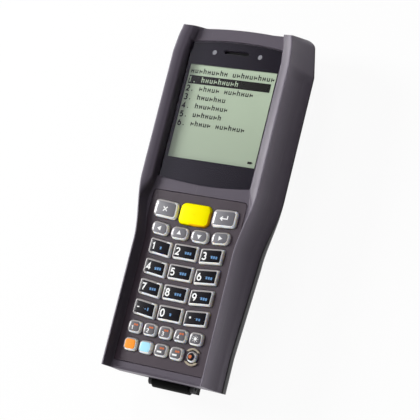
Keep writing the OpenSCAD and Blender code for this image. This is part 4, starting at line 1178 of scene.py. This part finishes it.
# %% [markdown]
# ## Pieces that keep their CAD shape
# Lens, bezel, covers, screws and everything inside are simple enough as they are. Each gets its
# finish and, where an edge is seen, a small Bevel, which catches light as a moulded edge does. The
# mask and the lights touch the lens from below, and two faces in one place would flicker, so these
# two are drawn in by three hundredths of a millimetre.

# %% Pieces that keep their CAD shape
LOOKS = {
    "keypad_bezel": ("bezel", 0.12), "power_guard": ("guard", 0.2), "display_lens": ("lens", 0.0),
    "window_mask": ("mask", 0), "lcd_panel": ("panel", 0), "lcd_frame": ("dark_plastic", 0),
    "backlight_plate": ("white_plastic", 0), "status_lights": ("light_pipe", 0),
    "speaker": ("dark_plastic", 0), "speaker_mesh": ("mesh", 0), "keypad_mat": ("mat", 0),
    "dome_sheet": ("steel", 0), "main_board": ("board", 0), "shield_can": ("tin", 0),
    "backup_cell": ("steel", 0), "antenna": ("ceramic", 0), "scan_engine": ("dark_plastic", 0),
    "scan_window": ("scan_glass", 0.1), "battery_pack": ("battery", 0.5),
    "battery_contacts": ("dark_plastic", 0), "battery_seal": ("rubber", 0),
    "battery_cover": ("housing_back", 0.3), "cover_screw": ("steel", 0.12),
    "housing_gasket": ("rubber", 0), "housing_screws": ("steel", 0.1), "board_screws": ("steel", 0),
    "dock_connector": ("dark_plastic", 0.1), "port_cover": ("rubber", 0.35),
    "port_cover_pin": ("steel", 0),
}
for name, (look, edge) in LOOKS.items():
    piece = nodes[name]
    piece.data.materials.clear()
    piece.data.materials.append(M[look])
    shade(piece, 30)
    if edge:
        bevel = piece.modifiers.new("soft_edges", "BEVEL")
        bevel.width, bevel.segments = edge / 1000, 3
        bevel.limit_method, bevel.angle_limit = "ANGLE", math.radians(35)
    if name in ("window_mask", "status_lights"):
        apart = piece.modifiers.new("clear_of_lens", "DISPLACE")
        apart.strength, apart.mid_level = -0.00003, 0.0
print("dressed", len(LOOKS))

# %% [markdown]
# ## Floor
# The photograph has a white ground with hardly a shadow. The floor is pale by its colour, and rays
# that end in the picture, straight, mirrored or through glass, see it as nearly plain white. So it
# looks white and throws no more light on the object. From below it is clear, so that the back can be
# looked at.

# %% Floor
def seen_rays(tree):
    """The light path's outputs, and 1 for rays that end in the picture."""
    rays = add_node(tree, "LightPath").outputs
    direct = add_node(tree, "Math", rays["Is Camera Ray"], rays["Is Glossy Ray"], operation="MAXIMUM")
    return rays, add_node(tree, "Math", direct, rays["Is Transmission Ray"], operation="MAXIMUM")


FLOOR_HALF, FLOOR_Z = 4, -0.0001
square = np.array([(-1, -1), (1, -1), (1, 1), (-1, 1)]) * FLOOR_HALF
floor = add_object("floor", level(square, FLOOR_Z), [(0, 1, 2, 3)], [], metres=True)
pale = material("floor", (0.78, 0.78, 0.78), 0.8, blotch=0.0, bump=0.0)
tree = pale.node_tree
share = add_node(tree, "Math", seen_rays(tree)[1], 0.94, operation="MULTIPLY")
white = add_node(tree, "Emission", Strength=1.0)
from_above = add_node(tree, "MixShader", share, tree.nodes["Principled BSDF"], white)
clear = add_node(tree, "BsdfTransparent")
either_side = add_node(tree, "MixShader", add_node(tree, "NewGeometry").outputs["Backfacing"],
                       from_above, clear)
feed(tree, tree.nodes["Material Output"].inputs["Surface"], either_side)
floor.data.materials.append(pale)
floor.visible_shadow = False
print("floor", 2 * FLOOR_HALF, "m wide")

# %% [markdown]
# ## Lamps
# The photograph's main light comes from the left and leaves the inner wall of the left rail dark. A
# weaker one stands at the scanning end, a soft one at the bottom end fills the lip, and a low one on
# the right brightens the outer wall without reaching over the rails. One below the floor lights the
# back for views from there.

# %% Lamps
def lamp(name, spot, width, height, watts, target=(0, 0, 0), mirrored=False):
    """Rectangular soft light at spot, turned towards target, seen in mirrors only if mirrored."""
    data = bpy.data.lights.new(name, "AREA")
    data.shape, data.size, data.size_y, data.energy = "RECTANGLE", width, height, watts
    obj = bpy.data.objects.new(name, data)
    bpy.context.scene.collection.objects.link(obj)
    obj.location = spot
    obj.rotation_euler = (Vector(target) - Vector(spot)).to_track_quat("-Z", "Y").to_euler()
    obj.visible_glossy = mirrored
    print(name, watts, "W")


lamp("key_light", (-1.06, 0.2, 0.72), 0.45, 0.45, 19.0, mirrored=True)
lamp("top_light", (-0.26, 0.92, 0.89), 0.4, 0.4, 6.5)
lamp("under_light", (0.25, -0.5, -1.2), 0.6, 0.6, 22.0)
lamp("low_light", (-0.35, -1.15, 0.38), 0.6, 0.3, 9.5)
lamp("side_light", (1.1, 0.45, 0.0), 0.4, 0.07, 4.0, target=(0, 0, 0.02))

# %% [markdown]
# ## Studio around it
# A weak even light stands for the room. The camera sees it as white. Mirrors see a dark room with a
# white wall on the left and another high on the right, which give the window and the rails their
# soft reflections: ramps on the direction's X, and on X times Z, draw those walls.

# %% Studio around it
world = bpy.data.worlds.new("studio")
world.use_nodes = True
bpy.context.scene.world = world
tree = world.node_tree
rays, ends_in_picture = seen_rays(tree)
toward = add_node(tree, "SeparateXYZ", add_node(tree, "TexCoord").outputs["Generated"]).outputs
left_wall = add_node(tree, "MapRange", Value=toward["X"], From_Min=-0.43, From_Max=-0.49,
                     To_Min=0.12, To_Max=1.0)
high_right = add_node(tree, "Math", toward["X"], toward["Z"], operation="MULTIPLY")
right_wall = add_node(tree, "MapRange", Value=high_right, From_Min=0.2, From_Max=0.42,
                      To_Min=0.0, To_Max=0.88)
walls = add_node(tree, "Math", left_wall, right_wall, operation="ADD")
strength = add_node(tree, "Mix", Factor=rays["Is Camera Ray"], A=walls, B=1.0, data_type="FLOAT")
seen = add_node(tree, "Background", Color=(1, 1, 1, 1), Strength=strength)
room = tree.nodes["Background"]
room.inputs["Color"].default_value = (1, 1, 1, 1)
room.inputs["Strength"].default_value = 0.045
feed(tree, tree.nodes["World Output"].inputs["Surface"],
     add_node(tree, "MixShader", ends_in_picture, room, seen))
print("world nodes", len(tree.nodes))

# %% [markdown]
# ## Camera
# Lens, place and turn come from the photograph itself: they are the ones at which the corners of the
# display, the rows of keys and the ends of the rails fall where the photograph has them.

# %% Camera
TILT, PAN, ROLL = math.radians(-8.708), math.radians(-28.13), math.radians(-13.999)
camera_data = bpy.data.cameras.new("camera")
camera_data.lens, camera_data.sensor_width = 135.79, 36.0
camera_data.clip_start, camera_data.clip_end = 0.05, 20.0
camera = bpy.data.objects.new("camera", camera_data)
bpy.context.scene.collection.objects.link(camera)
seen_from = Matrix.Rotation(ROLL, 3, "Z") @ Matrix.Rotation(TILT, 3, "X") @ Matrix.Rotation(PAN, 3, "Y")
camera.matrix_world = Matrix.Translation((0.34946, -0.11439, 0.67308)) @ seen_from.transposed().to_4x4()
bpy.context.scene.camera = camera
bpy.context.scene.view_settings.view_transform = "Standard"
print("camera", camera_data.lens, "mm")
